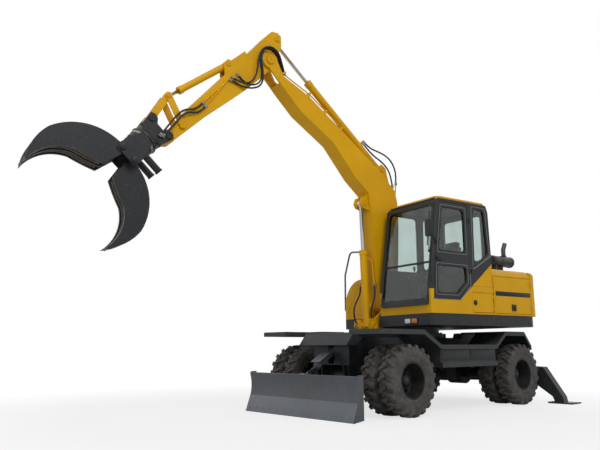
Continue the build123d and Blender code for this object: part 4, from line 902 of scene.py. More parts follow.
def lug(depth):
    """One tread lug from the tyre's middle over its shoulder, about the Y axis."""
    top = tyre_radius
    stations = [
        # outer place across and up, inner place across and up, shift round, width
        (-16, top, -16, top - depth - 6, 0, 44),
        (14, top, 14, top - depth - 6, 12, 48),
        (48, top, 48, top - depth - 6, 30, 54),
        (80, top - 1.5, 78, top - depth - 8, 46, 62),
        (99, top - 7, 90, top - depth - 14, 54, 66),
        (108, top - 22, 96, top - depth - 24, 57, 66),
        (111.5, top - 46, 100, top - depth - 38, 58, 60),
    ]
    # side, share of the way from the outer place to the inner one, inset from the side
    section = [(-1, 1, 0), (-1, 0.2, 2), (-1, 0, 7), (1, 0, 7), (1, 0.2, 2), (1, 1, 0)]
    part = bmesh.new()
    rings = []
    for out_y, out_r, in_y, in_r, shift, width in stations:
        ring = []
        for side, share, inset in section:
            y = out_y + (in_y - out_y) * share
            radius = out_r + (in_r - out_r) * share
            angle = (shift + side * (width / 2 - inset)) / tyre_radius
            ring.append(part.verts.new((radius * sin(angle), y, radius * cos(angle))))
        rings.append(ring)
    for ring, following in zip(rings, rings[1:]):
        bridge(part, ring, following)
    cap(part, rings)
    return Shape().close(part)


def add_tyre(shape, place, settings):
    """One tyre about the Y axis: a ribbed carcass and two rings of lugs."""
    base = tyre_radius - settings.lug_depth
    # across and up, from the bead over the side to the tread's middle
    half = [
        (79, 215.3), (92, 223), (98, 234), (101, 249), (104, 253), (104, 259), (102, 263),
        (107, 285), (108.5, 292), (110.5, 296), (112, 318), (111.8, 340), (108, 362),
        (104, 381), (97, base - 4), (80, base), (40, base + 2), (0, base + 2.5),
    ]
    profile = half + [(-y, r) for y, r in reversed(half[:-1])]
    carcass = Shape().turned((0, 0, 0), (0, 1, 0), profile, 90, hollow=True)
    shape.add_mesh(carcass.mesh(), place)
    step = 2 * pi / settings.lug_count
    mirror = Matrix.Diagonal((1, -1, 1, 1))
    for phase, turn in ((0.0, Matrix()), (step / 2, mirror)):
        item = lug(settings.lug_depth)
        item.bm.transform(turn)
        bmesh.ops.recalc_face_normals(item.bm, faces=item.bm.faces)
        around = place @ Matrix.Rotation(phase, 4, "Y")
        shape.repeated(item, "ring", settings.lug_count, (0, step, 0), around)


def make_wheels(settings):
    """Both tyres of each twin wheel, and its nuts, hub cap and valve."""
    for corner, side in corners:
        wheel_x = axles[corner.split("_")[0]]
        facing = Matrix.Rotation(0.0 if side > 0 else pi, 4, "Z")
        hub = Matrix.Translation((wheel_x, side * twin_mid, tyre_radius)) @ facing
        tyres = Shape()
        for offset in (-tyre_offset, tyre_offset):
            add_tyre(tyres, hub @ Matrix.Translation((0, offset, 0)), settings)
        made = tyres.piece(f"tyres_{corner}_worn", f"wheel_{corner}", "tyre_rubber", carrier_home)
        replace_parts(made, f"tyres_{corner}")
        trim = Shape()
        bolt_ring(trim, (0, 36, 0), (0, 1, 0), 117, 13, 24, 10)
        bolt_ring(trim, (0, 126, 0), (0, 1, 0), 50, 6, 7, 8)
        trim.turned((0, 133, 0), (0, 150, 0), [(0, 34), (4, 34), (9, 30), (13, 20), (14, 8)], 28)
        trim.rod((188, 60, 0), (176, 96, 0), 6)
        trim.rod((176, 94, 0), (172, 106, 0), 7.5)
        for ring_y in (228.0, -228.0, 51.0):
            trim.hoop((0, ring_y - 3.5, 0), (0, ring_y + 3.5, 0), 221, 232, 64)
        whole = Shape().add_mesh(trim.mesh(), hub)
        whole.piece(f"wheel_trim_{corner}", f"wheel_{corner}", "rim_steel", carrier_home)


# ---------------------------------------------------------------- pins and their covers

# Body, pin spot, cover's start and end from the middle plane, radius, bolts
pin_rows = [
    ("boom", (2335, 4700), 130, 148, 66, 6),
    ("boom", (690, 2908), 84, 94, 40, 4),
    ("boom", (336, 3473), 84, 98, 42, 4),
    ("upper", (300, 1430), 160, 177, 70, 6),
    ("upper", (628, 1123), 160, 177, 52, 4),
    ("arm", (2200, 5060), 106, 113, 40, 4),
    ("arm", (2943, 4502), 76, 90, 38, 4),
    ("hanger", (3735, 3346), 118, 137, 48, 4),
    ("hanger", (3957, 3526), 118, 137, 46, 4),
    ("rocker", (3565, 3515), 112, 128, 44, 4),
    ("rocker", (3758, 3864), 124, 130, 30, 3),
]


def add_cover(shape, spot, middle, start, end, radius, bolts):
    """A pin's bolted end cover on both sides of a working plane."""
    thick = end - start + 1
    steps = [
        (0, radius), (thick * 0.45, radius), (thick * 0.55, radius - 3), (thick, radius - 4),
        (thick, radius * 0.42), (thick - 3, radius * 0.4),
    ]
    for side in (-1, 1):
        foot, top, face, inside, nipple = [
            (spot[0], middle + side * reach, spot[1])
            for reach in (start - 1, end, end - 1, end - 4, end + 9)
        ]
        shape.turned(foot, top, steps, 36)
        bolt_ring(shape, face, (0, side, 0), radius * 0.7, radius * 0.12 + 1.5, 6, bolts)
        shape.rod(inside, nipple, 5, 10)


def make_pins():
    """Covers over the ends of every pin of the boom, the arm, the linkage and the grapple."""
    shapes = {}
    for body, spot, start, end, radius, bolts in pin_rows:
        add_cover(shapes.setdefault(body, Shape()), spot, boom_y, start, end, radius, bolts)
    for body, shape in shapes.items():
        finish = "body_paint" if body in ("boom", "upper", "arm", "rocker") else "grapple_paint"
        shape.piece(f"pin_covers_{body}", body, finish)


# ---------------------------------------------------------------- cab

seat_y = 570
lean = radians(-8.336)
glass_home = Matrix.Translation((577.7, 0, 1440)) @ Matrix.Rotation(lean, 4, "Y")
door_upper = [(305, 2700), (-150, 2700), (-150, 2070), (400, 2070)]
door_lower = [(422, 1900), (-150, 1900), (-150, 1680), (45, 1510), (445, 1510)]
quarter = [(-304, 2740), (-561, 2740), (-608, 2084), (-284, 1890)]
side_pane = [(320, 2740), (-200, 2740), (-200, 1890), (456, 1890)]


def seal(shape, outline, low, high, axis="Y", place=Matrix(), wide=20.0, corner=62.0):
    """A window's rubber seal: a band over the opening's edge, with rounded corners inside."""
    outer = rounded(narrowed(outline, -9), 30)
    shape.border(outer, rounded(narrowed(outline, wide), corner), low, high, axis, place)


def make_cab_seals():
    """Rubber seals round the windows, and light grey strips that paint highlights on the edges of
    the openings.
    """
    door, body = Shape(), Shape()
    for outline, corner in ((door_upper, 62), (door_lower, 55)):
        seal(door, outline, 1045, 1069.5, corner=corner)
        seal(door, outline, 1030, 1038, corner=corner)
    door.piece("door_seals", "cab_door", "seal_rubber")
    for outline, low, high in ((quarter, 1045, 1069), (quarter, 75, 98), (side_pane, 75, 98)):
        seal(body, outline, low, high)
    seal(body, square((200, 944), (2020, 2700)), -659, -632, "X")
    screen = square((122, 1022), (-68, 1303.8))
    seal(body, screen, -16, 4, "X", glass_home, wide=16, corner=110)
    toe = square((128, 1016), (-60, 8))
    body.plate(toe, -20, -2, "X", 1, place=glass_home)
    body.box((-16, -4), (122, 1022), (478, 506), 3, place=glass_home)
    body.piece("cab_seals", "upper", "seal_rubber")
    # Light grey strips round the door's windows: painted highlights on the openings' edges.
    strips = Shape()
    for outline in (door_upper, door_lower):
        outer = rounded(narrowed(outline, -15), 34)
        strips.border(outer, rounded(narrowed(outline, -8), 30), 1064, 1069, "Y")
    strips.piece("door_painted_highlights", "cab_door", "painted_highlight_strip")
    # Light grey tubes along the cab's side edge and round the quarter window: more painted
    # highlights.
    edge = [(-655, 2078), (-290, 1872), (-206, 1880), (-206, 1632), (14, 1437), (500, 1437)]
    rear = Shape().tube([(x, 1068, z) for x, z in edge], 4.5, 8)
    quarter_line = rounded(narrowed(quarter, -13), 32)
    rear.tube([(x, 1067.5, z) for x, z in quarter_line], 3.5, 8, closed=True)
    rear.piece("cab_painted_highlights", "upper", "painted_highlight_strip")


def make_roof():
    """The cab's roof: a cap with a raised panel, a dark hatch, a visor and a gutter."""
    roof = Shape().plate(oblong((-612, 362), (87, 1057), 90, 8), 2797, 2834, "Z", 14, 3)
    roof.plate(oblong((-545, 290), (165, 980), 80, 8), 2830, 2846, "Z", 7, 2)
    for y in range(280, 821, 180):
        roof.box((-470, -140), (y, y + 40), (2840, 2850), 4)
    made = roof.piece("cab_roof_cap", "upper", "body_paint")
    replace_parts(made, "cab_roof")
    hatch = Shape().plate(oblong((-90, 230), (300, 845), 50), 2843, 2850, "Z", 2)
    for y in (410, 665):
        hatch.rod((-60, y, 2849), (-60, y + 70, 2849), 6, 12)
    hatch.piece("roof_hatch", "upper", "seal_rubber")
    outline = rounded([(120, 2790), (1024, 2790), (1010, 2812), (134, 2812)], 8)
    visor = Shape().plate(outline, 352, 362, "X", 3)
    visor.piece("roof_visor", "upper", "frame_paint")
    lip = Shape()
    for low, high in ((84, 92), (1052, 1062)):
        lip.box((-600, 350), (low, high), (2790, 2801), 3)
    lip.box((344, 356), (95, 1050), (2786, 2799), 3)
    lip.piece("roof_gutter", "upper", "body_paint")


# A sewn channel's half width and depth
groove_half = 13
groove_depth = 9


def soft_pad(x, y, z, corner, crown, channels, place):
    """A crowned cushion with sewn channels across it, from three spans."""
    part = bmesh.new()
    bmesh.ops.create_cube(part, size=2.0)
    bmesh.ops.subdivide_edges(part, edges=part.edges, cuts=22, use_grid_fill=True)
    half = Vector([(high - low) / 2 for low, high in (x, y, z)])
    middle = Vector([(high + low) / 2 for low, high in (x, y, z)])
    for vertex in part.verts:
        share = vertex.co.copy()
        spot = Vector([share[k] * half[k] for k in range(3)])
        core = Vector([max(-half[k] + corner, min(half[k] - corner, spot[k])) for k in range(3)])
        out = spot - core
        if out.length:
            spot = core + out.normalized() * corner
        swell = (1 - share.x ** 2) * (1 - share.y ** 2)
        waist = 1 - 0.05 * (1 - share.z ** 2) * (share.x ** 2 + share.y ** 2)
        spot.x *= waist
        spot.y *= waist
        if share.z > 0:
            spot.z += crown * (swell - 1) * share.z
            for channel in channels:
                groove = max(0.0, 1 - abs(share.x - channel) * half.x / groove_half)
                spot.z -= groove_depth * groove * groove * share.z * (1 - share.y ** 8)
        crease = noise.noise(spot * 0.012) * 5 + noise.noise(spot * 0.04) * 1.6
        vertex.co = middle + spot + out.normalized() * (crease - 3.5 if out.length else 0)
    return Shape().close(part, place)


def make_seat():
    """The operator's seat with its cushions, consoles, levers, steering wheel and pedals."""
    recline = Matrix.Translation((-335, seat_y, 1640)) @ Matrix.Rotation(radians(-98), 4, "Y")
    cushion = ((-325, 105), (332, 808), (1588, 1705))
    back = ((35, 560), (-225, 225), (-62, 52))
    head = ((575, 690), (-125, 125), (-45, 45))
    pads = [
        # name, spans, corner, crown, channels, place, fill
        ("seat_cushion", cushion, 38, 14, (-0.45, 0.35), Matrix(), 0.75),
        ("seat_back", back, 38, 14, (-0.5, 0.0, 0.5), recline, 0.7),
        ("seat_head", head, 34, 8, (), recline, 0.8),
    ]
    for name, spans, corner, crown, channels, place, fill in pads:
        pad = soft_pad(*spans, corner, crown, channels, place)
        made = pad.piece(name, "upper", "seat_cloth")
        made.data.shade_smooth()
        smooth = made.modifiers.new("Soft", "SUBSURF")
        smooth.levels = smooth.render_levels = 1
        if name == "seat_cushion":
            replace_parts(made, "seat")
    gear = Shape().box((-330, 60), (420, 720), (1298, 1480), 25, 3)
    gear.box((-300, 40), (440, 700), (1480, 1560), 12)
    gear.box((-315, 95), (350, 790), (1556, 1600), 14)
    gear.plate([(-400, 1600), (-330, 1580), (-395, 2230), (-425, 2230)], 400, 740, "Y", 10)
    console = [
        (-300, 1790), (-300, 1590), (-180, 1500), (80, 1500), (120, 1560), (120, 1800), (40, 1812),
    ]
    boot = [(0, 34), (12, 30), (26, 25), (42, 21), (58, 16), (66, 15)]
    knob = [(0, 11), (8, 15), (24, 17), (34, 15), (44, 19), (56, 18), (62, 10)]
    for side in (-1, 1):
        y = seat_y + side * 270
        gear.plate(rounded(console, 35), y - 45, y + 45, "Y", 9)
        gear.turned((80, y, 1795), (87, y, 1860), boot, 24)
        gear.rod((84, y, 1850), (90, y, 1920), 7, 12)
        gear.turned((88, y, 1900), (95, y, 1962), knob, 20)
    gear.rod((320, seat_y, 1298), (235, seat_y, 1742), 24, 20)
    gear.turned((330, seat_y, 1298), (327, seat_y, 1320), [(0, 70), (14, 62), (22, 34)], 24)
    wheel = Matrix.Translation((232, seat_y, 1756)) @ Matrix.Rotation(radians(-11), 4, "Y")
    ring = [wheel @ Vector((180 * x, 180 * y, 0)) for x, y in round_spots(48)]
    gear.tube(ring, 14, 12, closed=True)
    hub = [wheel @ Vector((0, 0, z)) for z in (-18, 14)]
    gear.turned(*hub, [(0, 30), (20, 46), (32, 38)], 24)
    for turn in (radians(90), radians(210), radians(330)):
        spoke = [wheel @ Vector((r * cos(turn), r * sin(turn), 0)) for r in (30, 176)]
        gear.rod(*spoke, 9, 10)
    for y in (440, 700):
        tilted = Matrix.Translation((430, y, 1310)) @ Matrix.Rotation(radians(-28), 4, "Y")
        gear.box((-70, 70), (-38, 38), (0, 12), 4, place=tilted)
    gear.box((330, 480), (905, 1000), (1298, 1760), 25, 3)
    gear.box((310, 470), (915, 990), (1760, 1840), 18, 3)
    gear.piece("seat_frame", "upper", "console_plastic")


def make_fittings():
    """Lamps in the skirt, the mirror on its arm, the wiper, grab bar and door handle."""
    dark, clear, amber = Shape(), Shape(), Shape()
    for front_x, side in ((572, 1), (300, -1)):
        dark.box((front_x - 1, front_x + 9), (side * 585, side * 830), (1118, 1202), 5)
        for lens, y, half in ((clear, 644, 50), (amber, 770, 46)):
            low, high = side * y - half, side * y + half
            spots = square((low, high), (1130, 1190))
            lens.plate(rounded(spots, 12), front_x + 8, front_x + 18, "X", 4, 3)
            rim = rounded(narrowed(spots, -5), 14)
            dark.border(rim, rounded(narrowed(spots, 2), 10), front_x + 8, front_x + 13, "X")
    made = dark.piece("lamp_housings", "upper", "seal_rubber")
    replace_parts(made, "cab_fittings")
    clear.piece("work_lamps", "upper", "white_lens")
    amber.piece("turn_lamps", "upper", "amber_lens")
    arm_line = [
        (438, 1060, 2180), (440, 1092, 2182), (450, 1107, 2190), (548, 1107, 2280),
        (558, 1107, 2300), (560, 1107, 2330),
    ]
    arm = Shape().tube(arm_line, 10, 12)
    arm.rod((438, 1066, 2180), (438, 1074, 2180), 26, 24)
    housing = square((1012, 1152), (2245, 2475))
    arm.plate(rounded(housing, 38), 552, 572, "X", 8, 3)
    arm.piece("mirror_arm", "upper", "seal_rubber")
    face = Shape().plate(rounded(narrowed(housing, 10), 30), 549, 553, "X", 1)
    face.piece("mirror_face", "upper", "mirror_glass")
    wiper = Shape().rod(*[glass_home @ Vector((x, 1000, 640)) for x in (-10, 12)], 20, 20)
    blade_line = [(2, 1000, 640), (2, 985, 700), (2, 955, 1180)]
    wiper.tube([glass_home @ Vector(spot) for spot in blade_line], 6, 10)
    wiper.box((-2, 8), (948, 962), (720, 1200), 3, place=glass_home)
    wiper.piece("wiper", "upper", "seal_rubber")
    bar_line = [
        (520, 1058, 1660), (548, 1072, 1668), (556, 1078, 1690), (532, 1078, 1850),
        (436, 1078, 2500), (424, 1072, 2524), (402, 1058, 2530),
    ]
    Shape().tube(bar_line, 12, 12).piece("grab_bar", "upper", "seal_rubber")
    handle = Shape().plate(oblong((330, 440), (1945, 2010), 14), 1066, 1074, "Y", 3)
    handle.plate(oblong((341, 434), (1956, 1999), 12), 1072, 1091, "Y", 5, 3)
    handle.piece("door_handle", "cab_door", "seal_rubber")


# ---------------------------------------------------------------- body


def make_body_trim():
    """Stripe, latches, pressed lines, louvres, seams, lids, exhaust bands, flanges and bolts."""
    stripe = Shape().box((-1478, -708), (1065, 1068.6), (1524, 1588), 1)
    stripe.piece("door_stripe", "hood_door", "stripe_paint")
    latch = Shape().plate(oblong((-1130, -1040), (1320, 1410), 12), 1066, 1083, "Y", 4)
    latch.plate(oblong((-1112, -1078), (1345, 1392), 8), 1082, 1090, "Y", 3)
    latch.piece("hood_latch", "hood_door", "seal_rubber")
    ridge = rounded([(-640, 1548), (-640, 1290), (-236, 1290), (-236, 1545)], 24)
    emboss = Shape().tube([(x, 1066, z) for x, z in ridge], 5.5, 10, closed=True)
    emboss.piece("locker_emboss", "locker_door", "body_paint")
    lock = Shape().plate(oblong((-308, -247), (1378, 1446), 30), 1066, 1081, "Y", 4)
    lock.turned((-278, 1080, 1402), (-278, 1088, 1402), [(0, 15), (5, 15), (8, 11)], 24)
    lock.piece("locker_lock", "locker_door", "seal_rubber")
    outline = rounded([(-640, 1935), (-640, 1640), (-235, 1640), (-330, 1700)], 26)
    panel = Shape().tube([(x, 1067, z) for x, z in outline], 5, 10, closed=True)
    panel.box((-252, -238), (1062, 1069), (1275, 1600), 2)
    panel.piece("cab_panel", "upper", "body_paint")
    grilles = Shape()
    # spot, turn about the upright, louvre's depth and half length, count and step
    louvres = [((x, -1066, 1340), pi, 12, 130, 14, 26) for x in (-1260, -940)]
    louvres += [((-1689, y, 1340), pi / 2, 10, 230, 10, 30) for y in (-560, 0, 560)]
    for spot, turn, deep, half, count, step in louvres:
        item = Shape().plate([(0, 0), (deep, 12), (deep, 17), (0, 8)], -half, half, "X", 1)
        place = Matrix.Translation(spot) @ Matrix.Rotation(turn, 4, "Z")
        grilles.repeated(item, "row", count, (0, 0, step), place)
    grilles.piece("grilles", "upper", "seal_rubber")
    seams = Shape().box((-1103, -1097), (-900, 900), (1916, 1920.5), 1)
    seams.box((-1480, -700), (-3, 3), (1916, 1920.5), 1)
    for z in (1296, 1655):
        seams.box((-1692, -1686), (-840, 840), (z, z + 6), 1)
    seams.piece("panel_seams", "upper", "seal_rubber")
    lid = [(0, 60), (10, 60), (14, 54), (26, 52), (32, 44)]
    lids = Shape().turned((-160, -560, 1853), (-160, -560, 1885), lid, 32)
    for x, y in round_spots(6):
        spot = (51 * x - 160, 51 * y - 560)
        lids.rod((*spot, 1866), (*spot, 1882), 8, 10)
    lids.box((-140, -20), (-500, -360), (1852, 1858), 3)
    bolt_ring(lids, (-420, -620, 1855), (0, 0, 1), 90, 8, 8, 8)
    lids.turned((-420, -620, 1853), (-420, -620, 1860), [(0, 112), (4, 112), (7, 108)], 40)
    lids.piece("tank_lids", "upper", "seal_rubber")
    outline = rounded([(-1040, 1320), (-420, 1320), (-420, 1780), (-700, 1800)], 30)
    hatch = Shape().tube([(301, y, z) for y, z in outline], 5, 8, closed=True)
    hatch.plate(oblong((-500, -455), (1520, 1580), 10), 299, 309, "X", 3)
    hatch.piece("tank_panel", "upper", "body_paint")
    bands = Shape()
    for x in (-1640, -1420, -1280, -1258):
        bands.hoop((x - 9, 600, 2110), (x + 9, 600, 2110), 83, 86, 40)
    for x in (-1432, -1292):
        bands.box((x, x + 24), (583, 617), (2020, 2034), 3)
    bands.hoop((-1525, 600, 2190), (-1525, 600, 2204), 35, 46, 32)
    bands.piece("exhaust_bands", "upper", "exhaust_black")
    flange = [(0, 34), (5, 34), (8, 30)]
    flanges = Shape().turned((270, -1066, 1400), (270, -1074, 1400), flange, 28)
    flanges.turned((270, -600, 1855), (270, -600, 1863), flange, 28)
    flanges.piece("rail_flanges", "upper", "rail_paint")
    hinges = Shape()
    for z in (1395, 1735):
        for x in (-1470, -1445):
            hinges.rod((x, 1072, z), (x, 1080, z), 6, 6)
    hinges.piece("hood_hinge_bolts", "hood_door", "bare_steel")
    edge = Shape().box((-1500, 560), (1066, 1070), (1243, 1251), 2)
    for side, count in ((1, 7), (-1, 6)):
        bolt_row(edge, (-1400, side * deck_half, 1150), (0, side, 0), (300, 0, 0), 9, 6, count)
    edge.piece("skirt_bolts", "upper", "frame_paint")


# ---------------------------------------------------------------- carrier, blade and legs


def make_carrier_trim():
    """Step box doors, turntable and axle bolts, leg pins and the blade's cutting edge."""
    doors = Shape()
    for side in (-1, 1):
        for low, high in ((-600, -8), (12, 610)):
            outline = oblong((low, high), (655, 822), 20)
            doors.plate(outline, side * 1053, side * 1060, "Y", 3)
            x = high - 46
            grip = oblong((x - 22, x + 22), (728, 756), 8)
            doors.plate(grip, side * 1059, side * 1067, "Y", 3)
            for hinge in (low + 60, high - 130):
                doors.rod((hinge, side * 1061, 820), (hinge + 70, side * 1061, 820), 6, 10)
    doors.piece("step_doors", "carrier", "frame_paint", carrier_home)
    bolts = Shape()
    bolt_ring(bolts, (0, 0, 1009.5), (0, 0, 1), 492, 12, 14, 28)
    for axle, half in (("front", 120), ("rear", 130)):
        for side in (-1, 1):
            spot = (axles[axle], side * (half - 0.5), tyre_radius)
            bolt_ring(bolts, spot, (0, side, 0), 138, 9, 10, 14)
    for side in (-1, 1):
        for y, z, radius in ((480, 360, 46), (420, 990, 40)):
            disc = [(0, radius), (10, radius), (16, radius - 4)]
            for face in (-1, 1):
                foot, top, seat = [(leg_x + face * x, side * y, z) for x in (84, 100, 99)]
                bolts.turned(foot, top, disc, 28)
                bolt_ring(bolts, seat, (face, 0, 0), radius * 0.66, 7, 7, 4)
    bolts.piece("carrier_bolts", "carrier", "frame_paint", carrier_home)
    turn = Matrix.Translation((2076, 0, 215)) @ Matrix.Rotation(atan2(77, 215), 4, "Y").inverted()
    edge = Shape().box((-1, 5), (-1006, 1006), (-227, -6), 2, place=turn)
    edge.piece("cutting_edge", "blade", "blade_edge", carrier_home)
    rivets = Shape()
    out = turn.to_3x3() @ Vector((1, 0, 0))
    start = turn @ Vector((4, -940, -170))
    bolt_row(rivets, start, out, (0, 145, 0), 11, 5, 14)
    rivets.piece("edge_bolts", "blade", "blade_edge", carrier_home)
    for hand, side in (("left", 1), ("right", -1)):
        rods = Shape()
        for face in (-1, 1):
            ends = [(leg_x + face * reach, side * 480, 360) for reach in (64, 70)]
            rods.turned(*ends, [(0, 70), (4, 70), (6, 66)], 32)
        bolt_row(rods, (-1940, side * 1240, 21), (0, 0, 1), (45, 0, 0), 9, 8, 5)
        rods.piece(f"leg_trim_{hand}", f"leg_{hand}", "frame_paint", carrier_home)


# ---------------------------------------------------------------- grapple


def arc_points(first, middle, last, count):
    """Points along the arc through three flat points."""
    a, b, c = Vector(first), Vector(middle), Vector(last)
    turn = 2 * (a.x * (b.y - c.y) + b.x * (c.y - a.y) + c.x * (a.y - b.y))
    squares = [point.length_squared for point in (a, b, c)]
    centre = Vector((
        (squares[0] * (b.y - c.y) + squares[1] * (c.y - a.y) + squares[2] * (a.y - b.y)) / turn,
        (squares[0] * (c.x - b.x) + squares[1] * (a.x - c.x) + squares[2] * (b.x - a.x)) / turn,
    ))
    start = a - centre
    sweep = start.angle_signed(b - centre) + (b - centre).angle_signed(c - centre)
    spots = []
    for k in range(count + 1):
        angle = -sweep * k / count
        spots.append((
            centre.x + start.x * cos(angle) - start.y * sin(angle),
            centre.y + start.x * sin(angle) + start.y * cos(angle),
        ))
    return spots


def shifted(line, amount):
    """A flat line of points moved to its right by an amount."""
    points = [Vector(point) for point in line]
    made = []
    for k, spot in enumerate(points):
        way = (points[min(k + 1, len(points) - 1)] - points[max(k - 1, 0)]).normalized()
        made.append((spot.x + way.y * amount, spot.y - way.x * amount))
    return made


def make_grapple_trim():
    """Ring bolts, the turning gap's bright band, jaw pivot covers and the jaws' webs."""
    ring = Shape()
    bolt_ring(ring, (234, 0, 0), (-1, 0, 0), 173, 6, 7, 18)
    ring.piece("ring_bolts", "hanger", "bare_steel", grapple_home)
    rim = [(0, 164), (0, 169), (3, 171), (37, 171), (40, 169), (40, 164)]
    band = Shape().turned((252, 0, 0), (292, 0, 0), rim, 64, hollow=True)
    bolt_ring(band, (348, 0, 0), (1, 0, 0), 140, 9, 9, 12)
    band.piece("turning_band", "rotator", "ring_steel", grapple_home)
    covers = Shape()
    disc = [(0, 40), (5, 40), (7, 36)]
    for z in (100, -100):
        for side in (-1, 1):
            covers.turned((580, side * 225, z), (580, side * 232, z), disc, 32)
            bolt_ring(covers, (580, side * 231, z), (0, side, 0), 27, 6, 6, 4)
    covers.piece("jaw_covers", "rotator", "grapple_paint", grapple_home)
    # From a jaw plate's middle to its web flange's two faces: the other jaw's plates pass beyond
    flange = (17, 38)
    inner = arc_points((1480, 606), (1245, 595), (1010, 400), 14)
    inner += arc_points((1010, 400), (950, 240), (884, 110), 9)[1:]
    strip = shifted(inner, 16) + shifted(inner, 46)[::-1]
    for name, turn, rows in (("jaw_upper", 1, (-172, 0, 172)), ("jaw_lower", -1, (-86, 86))):
        flat = [(s, turn * t) for s, t in strip]
        web = Shape()
        for left, right in zip(rows, rows[1:]):
            web.plate(flat, left + flange[0], left + flange[1], "Y")
            web.plate(flat, right - flange[1], right - flange[0], "Y")
        web.piece(f"{name}_webs", name, "web_steel", grapple_home)


# ---------------------------------------------------------------- stage


def set_camera():
    """The camera at the photo's place, turned by its yaw, pitch and roll."""
    data = bpy.data.cameras.new("Camera")
    data.lens = 37.307
    data.sensor_width = 36.0
    data.shift_x = -0.0083
    data.shift_y = 0.0109
    data.clip_end = 200.0
    yaw, pitch, roll = radians(-131.008), radians(10.576), radians(-0.320)
    forward = Vector((cos(yaw) * cos(pitch), sin(yaw) * cos(pitch), sin(pitch)))
    right = forward.cross(Vector((0, 0, 1))).normalized()
    up = right.cross(forward)
    across = right * cos(roll) + up * sin(roll)
    upward = up * cos(roll) - right * sin(roll)
    spot = Matrix.Translation((5.52497, 5.98430, 0.82220))
    camera = linked("Camera", data)
    camera.matrix_world = spot @ Matrix((across, upward, -forward)).transposed().to_4x4()
    bpy.context.scene.camera = camera


def lay_floor(glow_share):
    """A pale floor that shines white for the camera away from the machine."""
    mesh = bpy.data.meshes.new("floor")
    reach = (-60.0, 60.0)
    mesh.from_pydata([(x, y, 0) for x, y in square(reach, reach)], [], [(0, 1, 2, 3)])
    made = Finish("pale_floor", "")
    seen = made.node("ShaderNodeLightPath", output="Is Camera Ray")
    dull = made.node("ShaderNodeBsdfDiffuse", None, {"Color": (0.80, 0.80, 0.80, 1)})
    glow = made.node("ShaderNodeEmission", None, {"Color": (1, 1, 1, 1), "Strength": 1.0})
    away = made.node("ShaderNodeVectorMath", {"operation": "LENGTH"}, {0: made.place}, "Value")
    share = ((away - 3.0) * 0.3).kept() * (1.0 - glow_share) + glow_share
    mixed = made.node("ShaderNodeMixShader", None, {0: seen * share, 1: dull, 2: glow})
    made.node("ShaderNodeOutputMaterial", None, {"Surface": mixed})
    mesh.materials.append(made.material)
    floor = linked("floor", mesh)


def set_world(sky):
    """A world that looks white, also through glass and in mirrors, and lights with less."""
    world = bpy.data.worlds.new("Studio")
    bpy.context.scene.world = world
    world.use_nodes = True
    tree = Tree(world.node_tree)
    camera, glossy, through = [
        tree.node("ShaderNodeLightPath", output=f"Is {kind} Ray")
        for kind in ("Camera", "Glossy", "Transmission")
    ]
    plain, white = [
        tree.node("ShaderNodeBackground", None, {"Color": (1, 1, 1, 1), "Strength": strength})
        for strength in (sky, 1.0)
    ]
    share = camera.either(glossy).either(through)
    mixed = tree.node("ShaderNodeMixShader", None, {0: share, 1: plain, 2: white})
    tree.node("ShaderNodeOutputWorld", None, {"Surface": mixed})


def hang_lamps(power):
    """Three soft lamps that look at the machine's middle."""
    aim = Vector((0.0, 0.0, 1.5))
    lamps = [
        # name, place, share of the key lamp's power
        ("Key", (3.0, 9.0, 11.0), 1.0),
        ("Front", (12.0, 1.0, 6.0), 0.35),
        ("Rear", (-10.0, -5.0, 9.0), 0.35),
    ]
    for name, spot, share in lamps:
        lamp = bpy.data.lights.new(name, "AREA")
        lamp.size = 6.0
        lamp.energy = power * share
        way = (aim - Vector(spot)).normalized()
        linked(name, lamp).matrix_world = aimed(spot, way, "-Z")


def make_stage(settings):
    """The camera, the pale floor and world, and three soft lamps."""
    set_camera()
    lay_floor(settings.floor_glow)
    set_world(settings.sky)
    bpy.context.scene.view_settings.view_transform = "Standard"
    hang_lamps(settings.lamp_power)


# ---------------------------------------------------------------- add-on

finishes = {}
trees = {}


def colour(name, text, default):
    """A colour that a user can change."""
    return FloatVectorProperty(
        name=name, description=text, default=default, size=3, subtype="COLOR", min=0.0, max=1.0
    )


class LoaderPaint(PropertyGroup):
    """Colours of the machine's finishes."""

    body: colour("Body", "Sprayed paint of the upper works, boom and arm", (0.745, 0.392, 0.003))
    frame: colour(
        "Frame", "Satin paint of the carrier, deck skirt and cab posts", (0.024, 0.028, 0.032)
    )
    blade: colour("Blade", "Satin paint of the dozer blade", (0.091, 0.102, 0.117))
    grapple: colour("Grapple", "Dark paint of the grapple", (0.012, 0.014, 0.018))
    rims: colour("Rims", "Paint of the wheel rims", (0.022, 0.022, 0.023))
    amber: colour("Turn lamps", "Lens colour of the turn lamps", (0.70, 0.16, 0.01))


class LoaderSizes(PropertyGroup):
    """Sizes of the small parts that the machine's dress adds."""

    hose_radius: FloatProperty(
        name="Hose radius", description="Outer radius of every hose, in millimetres",
        default=12.0, min=6.0, max=14.0,
    )
    lug_count: IntProperty(
        name="Lugs a side", description="Tread lugs on each side of a tyre",
        default=20, min=12, max=24,
    )
    lug_depth: FloatProperty(
        name="Lug depth", description="How far the lugs stand from the carcass, in millimetres",
        default=32.0, min=20.0, max=36.0,
    )


class LoaderStage(PropertyGroup):
    """Light of the studio round the machine."""

    lamp_power: FloatProperty(
        name="Key lamp", description="Power of the key lamp", default=620.0, min=0.0, unit="POWER"
    )
    sky: FloatProperty(
        name="Sky", description="Strength of the light from all round", default=0.42, min=0.0
    )
    floor_glow: FloatProperty(
        name="Floor glow", description="Share of plain white in the floor that the camera sees",
        default=0.72, min=0.0, max=1.0, subtype="FACTOR",
    )


